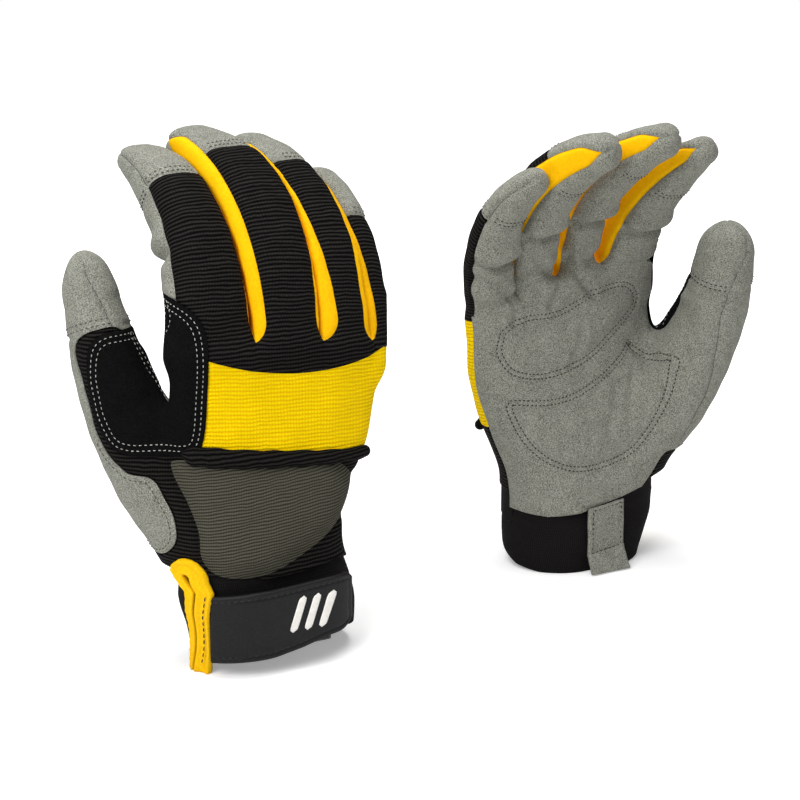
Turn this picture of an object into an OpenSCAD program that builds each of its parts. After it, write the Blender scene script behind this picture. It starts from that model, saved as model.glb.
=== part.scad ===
// A pair of work gloves with a knitted back, a suede palm and a hook-and-loop wrist strap.
// Both are right-hand gloves in their worn shape, standing on their cuffs.
// Each glove is drawn about the middle of its hem: X towards the little finger,
// Y towards the palm side, Z towards the fingertips. Millimetres.

/* [Pair] */
// Distance between the gloves, side to side
pair_x = 162; // [155:1:220]
// Distance between the gloves, front to back
pair_y = 35; // [0:1:60]

/* [Cuff] */
// Width of the cuff across the wrist
cuff_w = 74; // [62:1:88]
// Depth of the cuff, back of the wrist to palm side
cuff_d = 50; // [42:1:60]
// Height of the cuff band
cuff_h = 28; // [23:1:34]
// Shift of the cuff towards the thumb
cuff_shift = 8; // [0:1:10]
// Thickness of the folded cuff band
cuff_wall = 2.6; // [2:0.1:3.5]
// Width of the slit that lets the hand in
slit_w = 2.4; // [2:0.1:3]
// Height of the slit up to its round top
slit_h = 38; // [32:1:42]
// Width of the binding around the slit
binding_w = 6; // [5:0.5:8]
// Direction of the slit from the middle of the cuff, degrees
slit_at = 192; // [185:1:200]

/* [Strap] */
// Height of the wrist strap
strap_h = 28.5; // [24:0.5:30]
// Height of its lower edge above the hem
strap_low = 5.5; // [4:0.5:7]
// Thickness of the moulded strap
strap_t = 2.2; // [1.6:0.1:3]
// Direction of the strap's free end, degrees
strap_end = 326; // [310:1:340]
// Thickness of each hook-and-loop tape
tape_t = 1; // [0.8:0.1:1.5]

/* [Pull tab] */
// Width of the pull tab
tab_w = 17; // [14:0.5:22]
// Height of the part sewn to the cuff
tab_h = 25; // [20:1:30]
// Length of the loose loop
tab_l = 18; // [14:1:22]

/* [Hand] */
// Width across the knuckles
knuckle_w = 97; // [92:1:104]
// Thickness at the knuckles
knuckle_d = 27; // [23:1:32]
// Thickness of the fabric walls
wall = 2; // [1.6:0.1:2.4]
// Top of the yellow knuckle band
band_top = 117; // [106:1:118]
// Height of the yellow knuckle band
band_h = 35; // [29:1:42]
// Height of the padded back panel
pad_h = 44; // [37:1:46]
// Width of the padded back panel
pad_w = 72; // [60:1:80]
// Thickness of the foam pads
foam_t = 3; // [2:0.5:4]

/* [Index finger] */
// Middle of its knuckle
index_knuckle = [-29.5, -2, 124]; // [-60:0.5:140]
// Length, width at the root, width at the end, depth
index_size = [108, 29, 21.5, 23]; // [15:0.5:130]
// Sideways lean, knuckle bend and middle bend, degrees
index_pose = [1.5, 24.5, 32]; // [-5:0.1:45]

/* [Middle finger] */
// Middle of its knuckle
middle_knuckle = [-1.6, -4, 127]; // [-60:0.1:140]
// Length, width at the root, width at the end, depth
middle_size = [112, 25, 21.5, 23]; // [15:0.5:130]
// Sideways lean, knuckle bend and middle bend, degrees
middle_pose = [-1, 22, 37]; // [-5:0.1:45]

/* [Ring finger] */
// Middle of its knuckle
ring_knuckle = [21.8, -3, 123]; // [-60:0.1:140]
// Length, width at the root, width at the end, depth
ring_size = [106, 21, 20.5, 22]; // [15:0.5:130]
// Sideways lean, knuckle bend and middle bend, degrees
ring_pose = [3.2, 24, 31]; // [-5:0.1:45]

/* [Little finger] */
// Middle of its knuckle
little_knuckle = [42, 0, 114]; // [-60:0.1:140]
// Length, width at the root, width at the end, depth
little_size = [88, 18.5, 18, 19.5]; // [15:0.5:130]
// Sideways lean, knuckle bend and middle bend, degrees
little_pose = [6, 19.5, 20]; // [-5:0.1:45]

/* [Thumb] */
// Where the thumb starts inside the palm
thumb_root = [-22, 4, 42]; // [-70:0.5:160]
// Lower point that the thumb leans out to
thumb_out = [-54, 15, 76]; // [-80:0.5:160]
// Upper point that the thumb leans out to
thumb_up = [-66, 35, 119]; // [-80:0.5:160]
// End of the thumb
thumb_end = [-54.5, 46, 156]; // [-70:0.5:180]
// Radius at the root, twice along the thumb, and at the end
thumb_r = [17, 19, 13.5, 12.5]; // [10:0.5:22]
// Height of the line that the thumb bends on
thumb_fold = 100; // [94:1:104]

/* [Bending] */
// How far each digit can bend back past its resting shape, degrees
back_bend = 10; // [5:1:15]

/* [Hidden] */
gap = 0.4;
lap = 0.3;
big = 300;
sides = 32;
cap_from = 0.72;
thumb_cap_from = 0.66;
cuff_run = cuff_w - cuff_d;
band_low = band_top - band_h;
pad_top = band_low - 6;
seam_y = 1;
patch_t = 1.2;
tab_t = 2.4;
hand_mid = 3;
hand_top = 132;
lug_t = lap + 2 * tape_t + strap_t + 2 * gap;
strap_from = slit_at + 17;
tape_low = strap_low + 2.5;
tape_high = strap_low + strap_h - 4.5;
FINGERS = [
    ["index", index_knuckle, index_size, index_pose],
    ["middle", middle_knuckle, middle_size, middle_pose],
    ["ring", ring_knuckle, ring_size, ring_pose],
    ["little", little_knuckle, little_size, little_pose]
];
HAND_PIECES = [
    "palm_panel", "knuckle_panel", "knuckle_band", "back_pad", "wrist_panel", "saddle_patch",
    "foam_pads", "cuff_band", "slit_binding", "loop_tape", "pull_tab", "pull_loop",
    "strap", "hook_tape", "strap_bars", "thumb_back", "thumb_front", "thumb_patch"
];
FINGER_PIECES = ["back", "front", "sides"];
PIECES = concat(HAND_PIECES, [for (f = FINGERS) for (p = FINGER_PIECES) str(f[0], "_", p)]);
NODES = [for (g = [1, 2]) for (p = PIECES) str("glove", g, "_", p)];
node = "all";

SUEDE = "#8c8e8b";
KNIT = "#1d1c1d";
YELLOW = "#ffd100";
CHARCOAL = "#55564f";
RUBBER = "#26262a";
BLACK_SUEDE = "#232324";
WHITE = "#f2f2ee";
FOAM = "#d9d6cc";

function mix(a, b, t) = a + (b - a) * t;
function unit(v) = v / norm(v);
function ease(t) = let (u = max(0, min(1, t))) u * u * (3 - 2 * u);
function steps(a, b, n) = [for (i = [0:n]) mix(a, b, i / n)];
function signed_pow(v, e) = sign(v) * pow(abs(v), e);
function bezier(p, t) =
    pow(1 - t, 3) * p[0] + 3 * (1 - t) * (1 - t) * t * p[1] + 3 * (1 - t) * t * t * p[2] + pow(t, 3) * p[3];
function heading(p, t) =
    unit((1 - t) * (1 - t) * (p[1] - p[0]) + 2 * (1 - t) * t * (p[2] - p[1]) + t * t * (p[3] - p[2]));

// Every surface is a function of a length along it, an angle round it and a height above it.
// Round a section, 0 faces the little finger, 90 the back, 180 the thumb and 270 the palm.
hand_at = function (z, a, h)
    let (
        t = ease((z - cuff_h - 8) / 80),
        half_w = mix(cuff_w / 2 - 2, knuckle_w / 2, t) + h,
        half_d = mix(cuff_d / 2 - 1, knuckle_d / 2, t) + h
    )
    [
        mix(-cuff_shift, hand_mid, t) + half_w * signed_pow(cos(a), 0.8),
        -t - half_d * signed_pow(sin(a), 0.8),
        z
    ];

// A bent tube with a rounded end; halves are its half widths and half depths along the path.
function tube_at(path, side, halves) =
    function (t, a, h)
        let (
            u = t * (1 + 1.3 * h / norm(path[3] - path[0])),
            along = heading(path, u),
            across = unit(side - (side * along) * along),
            back = cross(across, along),
            dome = sqrt(max(0, 1 - pow(max(0, (t - 0.87) / 0.13), 2))),
            half = (bezier(halves, max(0, t)) + [h, h]) * dome
        )
        bezier(path, u) + half[0] * cos(a) * across + half[1] * sin(a) * back;

function lean_dir(lean, bend) = [sin(lean) * cos(bend), sin(bend), cos(lean) * cos(bend)];
function finger_path(f) =
    let (
        p0 = f[1],
        l = f[2][0],
        b = f[3],
        p1 = p0 + 0.475 * l * lean_dir(b[0], b[1]),
        p2 = p1 + 0.29 * l * lean_dir(b[0], b[1] + b[2])
    )
    [p0, p1, p2, p2 + 0.235 * l * lean_dir(b[0], b[1] + 1.55 * b[2])];
function finger_at(f) =
    let (
        root = [f[2][1], f[2][3]] / 2,
        end = [f[2][2], 0.9 * f[2][3]] / 2
    )
    tube_at(
        finger_path(f), [cos(f[3][0]), 0, -sin(f[3][0])], [root, mix(root, end, 0.7), mix(root, end, 0.8), end]
    );
function fold_y(f) = f[1][1] + f[2][3] / 2 / cos(f[3][1]);

thumb_path = [thumb_root, thumb_out, thumb_up, thumb_end];
thumb_at = tube_at(thumb_path, [0, -0.92, 0.39], [for (r = thumb_r) [r, r]]);
thumb_fold_y = 43;

// A curved sheet of a surface between two lengths, two angles and two heights.
module sheet(at, ts, as, low, high) {
    n = len(ts);
    m = len(as);
    points = [for (h = [high, low]) for (t = ts) for (a = as) at(t, a, h)];
    id = function (k, i, j) (k * n + i) * m + j;
    top = [
        for (i = [0:n - 2]) for (j = [0:m - 2])
            each [[id(0, i, j), id(0, i, j + 1), id(0, i + 1, j + 1)],
                  [id(0, i, j), id(0, i + 1, j + 1), id(0, i + 1, j)]]
    ];
    under = [for (f = top) [f[2] + n * m, f[1] + n * m, f[0] + n * m]];
    ring = concat(
        [for (j = [0:m - 2]) [0, j]],
        [for (i = [0:n - 2]) [i, m - 1]],
        [for (j = [m - 1:-1:1]) [n - 1, j]],
        [for (i = [n - 1:-1:1]) [i, 0]]
    );
    count = len(ring);
    rim = [
        for (k = [0:count - 1])
            let (p = ring[k], q = ring[(k + 1) % count])
            each [[id(0, q[0], q[1]), id(0, p[0], p[1]), id(1, p[0], p[1])],
                  [id(0, q[0], q[1]), id(1, p[0], p[1]), id(1, q[0], q[1])]]
    ];
    polyhedron(points, concat(top, under, rim));
}

// A solid length of a surface, closed with flat ends.
module loft(at, ts, h) {
    n = len(ts);
    points = [for (t = ts) for (j = [0:sides - 1]) at(t, j * 360 / sides, h)];
    id = function (i, j) i * sides + j % sides;
    skin = [
        for (i = [0:n - 2]) for (j = [0:sides - 1])
            each [[id(i, j), id(i, j + 1), id(i + 1, j + 1)], [id(i, j), id(i + 1, j + 1), id(i + 1, j)]]
    ];
    ends = [[for (j = [sides - 1:-1:0]) id(0, j)], [for (j = [0:sides - 1]) id(n - 1, j)]];
    polyhedron(points, concat(skin, ends));
}

// A fingertip cap: the rounded end of a tube, hollow and open at its root.
module tip_cap(at, from, thick) {
    n = 6;
    m = 16;
    ts = [for (i = [0:n - 1]) mix(from, 1, sin(90 * i / n))];
    rings = [for (h = [0, -thick]) for (t = ts) for (j = [0:m - 1]) at(t, j * 360 / m, h)];
    points = concat(rings, [at(1, 0, 0), at(1, 0, -thick)]);
    id = function (k, i, j) (k * n + i) * m + j % m;
    skin = concat(
        [
            for (i = [0:n - 2]) for (j = [0:m - 1])
                each [[id(0, i, j), id(0, i, j + 1), id(0, i + 1, j + 1)],
                      [id(0, i, j), id(0, i + 1, j + 1), id(0, i + 1, j)]]
        ],
        [for (j = [0:m - 1]) [id(0, n - 1, j), id(0, n - 1, j + 1), 2 * n * m]]
    );
    inside = concat(
        [
            for (i = [0:n - 2]) for (j = [0:m - 1])
                each [[id(1, i + 1, j + 1), id(1, i, j + 1), id(1, i, j)],
                      [id(1, i + 1, j), id(1, i + 1, j + 1), id(1, i, j)]]
        ],
        [for (j = [0:m - 1]) [2 * n * m + 1, id(1, n - 1, j + 1), id(1, n - 1, j)]]
    );
    rim = [
        for (j = [0:m - 1])
            each [[id(0, 0, j + 1), id(0, 0, j), id(1, 0, j)], [id(0, 0, j + 1), id(1, 0, j), id(1, 0, j + 1)]]
    ];
    polyhedron(points, concat(skin, inside, rim));
}

// The space above a digit's fold line, tilted so that the digit can bend back.
module above_fold(y, z) {
    translate([0, y, z + gap / 2])
        rotate([-back_bend, 0, 0])
            translate([-big / 2, -big / 2, 0])
                cube(big);
}

module half_space(y0, y1, z0, z1) {
    translate([-big / 2, y0, z0])
        cube([big, y1 - y0, z1 - z0]);
}

module hand_body(h) {
    loft(hand_at, steps(cuff_h - 2, hand_top, 11), h);
}

module thumb_base(h) {
    intersection() {
        loft(thumb_at, steps(h < 0 ? 0.03 : 0, 0.64, 8), h);
        half_space(-big, big, 0, thumb_fold - gap / 2 + (h < 0 ? 1 : 0));
    }
}

// The hollow hand with the root of the thumb, cut off along the finger folds.
module hand_shell() {
    difference() {
        union() {
            hand_body(0);
            thumb_base(0);
        }
        loft(hand_at, concat([cuff_h - 4], steps(cuff_h - 2, hand_top, 11), [hand_top + 2]), -wall);
        thumb_base(-wall);
        finger_room();
    }
}

module finger_room() {
    for (k = [0:3]) {
        x0 = k == 0 ? -big / 2 : (FINGERS[k][1][0] - FINGERS[k][2][1] / 2
            + FINGERS[k - 1][1][0] + FINGERS[k - 1][2][1] / 2) / 2;
        x1 = k == 3 ? big / 2 : (FINGERS[k][1][0] + FINGERS[k][2][1] / 2
            + FINGERS[k + 1][1][0] - FINGERS[k + 1][2][1] / 2) / 2;
        translate([x0 - gap / 4, -big / 2, FINGERS[k][1][2] - gap / 2])
            cube([x1 - x0 + gap / 2, big, big]);
    }
}

module back_outline(grow) {
    translate([0, -big / 2 + seam_y - gap / 2, 0])
        rotate([90, 0, 0])
            linear_extrude(height = big, center = true)
                offset(r = 5 + grow)
                    offset(delta = -5)
                        polygon([
                            [-pad_w * 0.55, pad_top], [pad_w * 0.45, pad_top], [pad_w * 0.45, pad_top - pad_h * 0.4],
                            [pad_w * 0.14, pad_top - pad_h * 0.9], [-pad_w * 0.2, pad_top - pad_h],
                            [-pad_w * 0.38, pad_top - pad_h * 0.8], [-pad_w * 0.4, pad_top - pad_h * 0.5]
                        ]);
}

module palm_panel() {
    color(SUEDE)
        intersection() {
            hand_shell();
            half_space(seam_y + gap / 2, big, cuff_h + gap, big);
        }
}

module knuckle_panel() {
    color(KNIT)
        intersection() {
            hand_shell();
            half_space(-big, seam_y - gap / 2, band_top + gap / 2, big);
        }
}

module knuckle_band() {
    color(YELLOW)
        intersection() {
            hand_shell();
            half_space(-big, seam_y - gap / 2, band_low + gap / 2, band_top - gap / 2);
        }
}

module wrist_panel() {
    color(KNIT)
        difference() {
            intersection() {
                hand_shell();
                half_space(-big, seam_y - gap / 2, cuff_h + gap, band_low - gap / 2);
            }
            back_outline(gap);
            slit(0);
        }
}

module back_pad() {
    color(CHARCOAL)
        intersection() {
            difference() {
                hand_body(1);
                hand_body(-wall);
            }
            back_outline(0);
            half_space(-big, big, cuff_h + gap, big);
        }
}

module saddle_patch() {
    color(BLACK_SUEDE)
        intersection() {
            difference() {
                union() {
                    hand_body(lap + patch_t);
                    thumb_base(lap + patch_t);
                }
                hand_body(lap);
                thumb_base(lap);
            }
            translate([-big / 2 - 33, 0, 0])
                rotate([90, 0, 90])
                    linear_extrude(height = big, center = true)
                        offset(r = 4)
                            polygon([[-6, 88], [18, 84], [14, 98], [4, 112], [-6, 112]]);
            half_space(-big, big, 0, thumb_fold - gap / 2);
        }
}

module foam_pads() {
    color(FOAM) {
        intersection() {
            difference() {
                hand_body(-wall - lap);
                hand_body(-wall - lap - foam_t);
            }
            union() {
                palm_outline([[-8, 100], [4, 94], [26, 94], [36, 100], [22, 108], [0, 110]]);
                palm_outline([[6, 50], [20, 50], [30, 64], [30, 82], [14, 80], [4, 66]]);
            }
        }
        intersection() {
            difference() {
                hand_body(-wall - lap);
                hand_body(-wall - lap - foam_t);
            }
            back_outline(-4);
        }
    }
}

module palm_outline(points) {
    translate([0, 5 + big / 2, 0])
        rotate([90, 0, 0])
            linear_extrude(height = big, center = true)
                offset(r = 3)
                    polygon(points);
}

// The cuff's outline, grown by o.
module cuff_outline(o) {
    for (s = [-1, 1])
        translate([s * cuff_run / 2, 0])
            circle(cuff_d / 2 + o);
    square([cuff_run, cuff_d + 2 * o], center = true);
}

module cuff_ring(low, high, z0, z1) {
    translate([-cuff_shift, 0, z0])
        linear_extrude(height = z1 - z0)
            difference() {
                cuff_outline(high);
                cuff_outline(low);
            }
}

// A wedge of directions seen from the middle of the cuff.
module wedge(a0, a1) {
    translate([-cuff_shift, 0, -1])
        linear_extrude(height = 60)
            polygon(concat([[0, 0]], [for (a = steps(a0, a1, 8)) big / 2 * [cos(a), sin(a)]]));
}

// The slit with its round top, grown by o.
module slit(o) {
    translate([-cuff_shift, 0, 0])
        rotate([0, 0, slit_at]) {
            translate([10, -slit_w / 2 - o, -1])
                cube([60, slit_w + 2 * o, slit_h + 1]);
            translate([10, 0, slit_h])
                rotate([0, 90, 0])
                    cylinder(r = 2.6 + o, h = 60, $fn = 32);
        }
}

module cuff_band() {
    color(KNIT)
        difference() {
            cuff_ring(-cuff_wall, 0, 0, cuff_h);
            slit(0);
        }
}

module slit_binding() {
    color(YELLOW)
        difference() {
            intersection() {
                cuff_ring(lap, lap + 1.2, 0.4, slit_h + 12);
                slit(binding_w);
            }
            slit(0.6);
        }
}

module loop_tape() {
    color(KNIT)
        intersection() {
            cuff_ring(lap, lap + tape_t, tape_low, tape_high);
            wedge(strap_from + 9, strap_end - 22);
        }
}

module hook_tape() {
    color(KNIT)
        intersection() {
            cuff_ring(lug_t - strap_t - gap - tape_t + 0.2, lug_t - strap_t - 0.2, tape_low, tape_high);
            wedge(strap_from + 53, strap_end - 10);
        }
}

module strap() {
    color(RUBBER)
        intersection() {
            cuff_ring(lug_t - strap_t, lug_t, strap_low, strap_low + strap_h);
            wedge(strap_from, strap_end);
        }
}

module strap_bars() {
    color(WHITE)
        for (k = [0:2])
            intersection() {
                cuff_ring(lug_t + 0.05, lug_t + 0.6, strap_low + 6, strap_low + strap_h - 7);
                wedge(strap_end - 24 + 6 * k, strap_end - 21 + 6 * k);
            }
}

module pull_tab() {
    color(SUEDE)
        translate([-cuff_shift - tab_w / 2, cuff_d / 2 + lap, 9])
            cube([tab_w, tab_t, tab_h]);
}

module pull_loop() {
    color(SUEDE)
        translate([-cuff_shift, cuff_d / 2 + 2 * lap + 1.5 * tab_t, 10.5])
            rotate([-122, 0, 0])
                linear_extrude(height = tab_l - 3)
                    square([tab_w, tab_t], center = true);
}

module finger_back(k) {
    color(KNIT)
        finger_strip(k, k == 3 ? 1 : 39, k == 0 ? 179 : 141);
}

module finger_front(k) {
    color(SUEDE) {
        finger_strip(k, k == 0 ? 181 : 219, k == 3 ? 359 : 321);
        tip_cap(finger_at(FINGERS[k]), cap_from + 0.004, wall);
    }
}

module finger_sides(k) {
    color(YELLOW) {
        if (k < 3)
            finger_strip(k, -38, 38);
        if (k > 0)
            finger_strip(k, 142, 218);
    }
}

module finger_strip(k, a0, a1) {
    f = FINGERS[k];
    intersection() {
        sheet(finger_at(f), steps(-0.1, cap_from, 9), steps(a0, a1, 5), -wall, 0);
        above_fold(fold_y(f), f[1][2]);
    }
}

// The thumb clear of the side of the hand over its whole travel.
module thumb_clear() {
    difference() {
        intersection() {
            children();
            above_fold(thumb_fold_y, thumb_fold);
        }
        for (r = [0, back_bend / 2, back_bend])
            translate([0, thumb_fold_y, thumb_fold])
                rotate([-r, 0, 0])
                    translate([0, -thumb_fold_y, -thumb_fold])
                        hand_body(lap + patch_t + lap);
    }
}

module thumb_back() {
    color(KNIT)
        thumb_clear()
            sheet(thumb_at, steps(0.4, thumb_cap_from, 4), steps(1, 179, 8), -wall, 0);
}

module thumb_front() {
    color(SUEDE) {
        thumb_clear()
            sheet(thumb_at, steps(0.4, thumb_cap_from, 4), steps(181, 359, 8), -wall, 0);
        tip_cap(thumb_at, thumb_cap_from + 0.004, wall);
    }
}

module thumb_patch() {
    color(BLACK_SUEDE)
        thumb_clear()
            sheet(thumb_at, steps(0.4, thumb_cap_from, 4), steps(268, 352, 4), lap, lap + patch_t);
}

module place(g) {
    rotate([0, 0, 180 * (g - 1)])
        translate([-pair_x / 2, -pair_y / 2, 0])
            children();
}

function shown(g, piece) = node == "all" || node == str("glove", g, "_", piece);

for (g = [1, 2])
    place(g) {
        if (shown(g, "palm_panel")) palm_panel();
        if (shown(g, "knuckle_panel")) knuckle_panel();
        if (shown(g, "knuckle_band")) knuckle_band();
        if (shown(g, "back_pad")) back_pad();
        if (shown(g, "wrist_panel")) wrist_panel();
        if (shown(g, "saddle_patch")) saddle_patch();
        if (shown(g, "foam_pads")) foam_pads();
        if (shown(g, "cuff_band")) cuff_band();
        if (shown(g, "slit_binding")) slit_binding();
        if (shown(g, "loop_tape")) loop_tape();
        if (shown(g, "pull_tab")) pull_tab();
        if (shown(g, "pull_loop")) pull_loop();
        if (shown(g, "strap")) strap();
        if (shown(g, "hook_tape")) hook_tape();
        if (shown(g, "strap_bars")) strap_bars();
        if (shown(g, "thumb_back")) thumb_back();
        if (shown(g, "thumb_front")) thumb_front();
        if (shown(g, "thumb_patch")) thumb_patch();
        for (k = [0:3]) {
            if (shown(g, str(FINGERS[k][0], "_back"))) finger_back(k);
            if (shown(g, str(FINGERS[k][0], "_front"))) finger_front(k);
            if (shown(g, str(FINGERS[k][0], "_sides"))) finger_sides(k);
        }
    }
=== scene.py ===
import bpy
import numpy as np
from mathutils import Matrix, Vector


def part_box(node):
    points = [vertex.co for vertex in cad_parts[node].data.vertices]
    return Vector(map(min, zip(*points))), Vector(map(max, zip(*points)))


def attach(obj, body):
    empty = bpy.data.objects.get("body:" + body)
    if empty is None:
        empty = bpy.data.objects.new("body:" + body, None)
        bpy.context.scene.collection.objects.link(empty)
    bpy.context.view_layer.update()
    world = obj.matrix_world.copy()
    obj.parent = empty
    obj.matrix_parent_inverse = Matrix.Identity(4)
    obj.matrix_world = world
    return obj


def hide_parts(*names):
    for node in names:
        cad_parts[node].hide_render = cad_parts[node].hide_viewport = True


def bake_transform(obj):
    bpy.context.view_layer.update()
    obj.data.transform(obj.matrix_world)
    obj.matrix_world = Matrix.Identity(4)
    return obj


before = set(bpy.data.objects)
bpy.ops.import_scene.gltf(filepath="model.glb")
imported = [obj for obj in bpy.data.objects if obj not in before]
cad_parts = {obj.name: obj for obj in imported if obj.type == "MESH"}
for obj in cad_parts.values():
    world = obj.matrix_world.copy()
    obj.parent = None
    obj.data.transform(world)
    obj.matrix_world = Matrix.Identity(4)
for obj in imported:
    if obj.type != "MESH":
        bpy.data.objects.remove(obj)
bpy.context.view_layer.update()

# Lengths are millimetres in each glove's own frame: X to the little finger, Y to the palm, Z up, hem at 0.
MM = 0.001
# The cuff's middle in X, and its half width and half depth.
CUFF_SHIFT = -8
CUFF_HALF = (36, 24.5)
FINGERS = ("index", "middle", "ring", "little")
NEXT_TO = {
    "index": ("middle",), "middle": ("index", "ring"), "ring": ("middle", "little"), "little": ("ring",),
}
KNUCKLES = {
    "index": (-29.5, -2, 124), "middle": (-1.6, -4, 127), "ring": (21.8, -3, 123), "little": (39, 0, 114),
}
# Per glove and finger: length; sideways lean and bend to the palm of its three handles, in degrees; then half
# width and half depth at the root, along the middle and at the end.
DIGITS = {
    1: {
        "index": (110, (6.7, -4, -11.1), (19.4, 49.4, 81.5), ((18.4, 10.6), (15, 13.2), (8.6, 3.8))),
        "middle": (114.5, (8.4, -8, -19.2), (19.8, 49.8, 83), ((15.9, 11), (18.8, 12), (11.4, 6.3))),
        "ring": (111, (7.6, -7.4, -15.3), (17.1, 47.7, 78.3), ((14.4, 10.6), (15.4, 8.4), (10, 5.4))),
        "little": (91, (8.9, -0.9, -6.8), (19.4, 39.2, 61.3), ((6, 9.4), (11, 8.6), (8.4, 4.8))),
    },
    2: {
        "index": (98.7, (9.5, -10.2, -8.4), (18.3, 51.1, 64), ((13.3, 10.4), (13.5, 11.2), (5.5, 4.5))),
        "middle": (109.1, (8.6, -9.4, -22.7), (14.1, 53.9, 74), ((9.8, 11), (11.8, 12), (7.5, 6.1))),
        "ring": (107.9, (14.3, -5.7, -27.6), (15.1, 44.7, 77.7), ((12, 11), (12.5, 13.4), (8, 5.9))),
        "little": (90.2, (20.2, -1.4, -25.1), (10.7, 32.8, 60.6), ((9.1, 10.4), (11, 9), (5.5, 4.6))),
    },
}
# Per glove: the thumb's four path points, the radius at each and the length of its rounded tip.
THUMBS = {
    1: (((-22, 4, 42), (-56, 17, 74.5), (-61.5, 36, 119), (-61.8, 49, 160)), (18.2, 20.5, 14.4, 7.6), 21),
    2: (((-22, 4, 42), (-57, 16.5, 74), (-65, 32, 119), (-54, 44.2, 156)), (16.8, 21.2, 14.8, 10.9), 16),
}
# Per glove: heights up the hand, and the middle, half width and half depth of the hand at each.
HAND_Z = (20, 30, 45, 65, 85, 105, 125, 145)
HAND = {
    1: ((-8, -9.1, -11.4, -8.4, -3.9, -3.2, -1.8, 3), (37.4, 36.9, 34.6, 35.4, 40.8, 43.4, 44.8, 48),
        (25.3, 24.6, 22.2, 19.5, 15.6, 14, 13.5, 13.5)),
    2: ((-8, -7.6, -5.6, -1.4, 1.8, 2.8, 3.4, 3), (37.4, 37, 36.8, 41.6, 46.2, 47.6, 47.4, 48),
        (25.3, 25, 24, 21.3, 17.4, 13.9, 13.2, 13.5)),
}
# The line through the bottoms of the finger slots on the back, and how steeply each climbs to the palm.
SLOT_X = (-60, -45, -14, 11, 32, 52, 70)
SLOT_Z = (124, 125, 127, 126, 123, 118, 116)
SLOT_RISE = (0.45, 0.45, 0.45, 0.3, 0.08, 0.05, 0.05)
# Shares of a finger's length in its three handles, then the lengths of its rounded tip and heel.
FINGER_SHARES = (0.42, 0.32, 0.26)
FINGER_TIP = 7
FINGER_HEEL = 9
THUMB_HEEL = 14
THUMB_SIDE = (0, -0.92, 0.39)
# How square the sections of the hand and the fingers are: 2 is an ellipse.
SQUARENESS = 2.5
# How far the thumb, the fingers and the hand's top are rounded into the hand.
THUMB_MELT = 14
FINGER_MELT = 6
TOP_MELT = 6
# Half the gap between neighbouring fingers, and the lattice that the skin is found on.
FINGER_GAP = 0.35
STEP = 2.0


def ease(t):
    """0 before 0, 1 after 1, and 3t^2 - 2t^3 between."""
    t = np.clip(t, 0, 1)
    return t * t * (3 - 2 * t)


def mix(a, b, t):
    """a at t = 0, b at t = 1, straight between."""
    return a + (b - a) * t


def lower(a, b, k):
    """The lower of a and b, rounded off where they are within k of each other."""
    h = np.clip(0.5 + 0.5 * (b - a) / k, 0, 1)
    return mix(b, a, h) - k * h * (1 - h)


def bezier(points, t):
    """Cubic Bezier curve through the first and last of four points."""
    p = np.asarray(points, float)
    t = np.asarray(t, float)[..., None]
    s = 1 - t
    return s**3 * p[0] + 3 * s * s * t * p[1] + 3 * s * t * t * p[2] + t**3 * p[3]


def curve_through(x, xs, ys):
    """Smooth curve through the points (xs, ys): cubic between each two, sloped as their neighbours are."""
    xs, ys = np.asarray(xs, float), np.asarray(ys, float)
    slope = np.gradient(ys, xs)
    i = np.clip(np.searchsorted(xs, x) - 1, 0, len(xs) - 2)
    h = xs[i + 1] - xs[i]
    t = np.clip((x - xs[i]) / h, 0, 1)
    rise = ys[i] + (ys[i + 1] - ys[i]) * t * t * (3 - 2 * t)
    return rise + h * t * (1 - t) * ((1 - t) * slope[i] - t * slope[i + 1])


def unit(v):
    """Vectors scaled to length 1."""
    return v / np.maximum(np.linalg.norm(v, axis=-1, keepdims=True), 1e-9)


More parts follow.
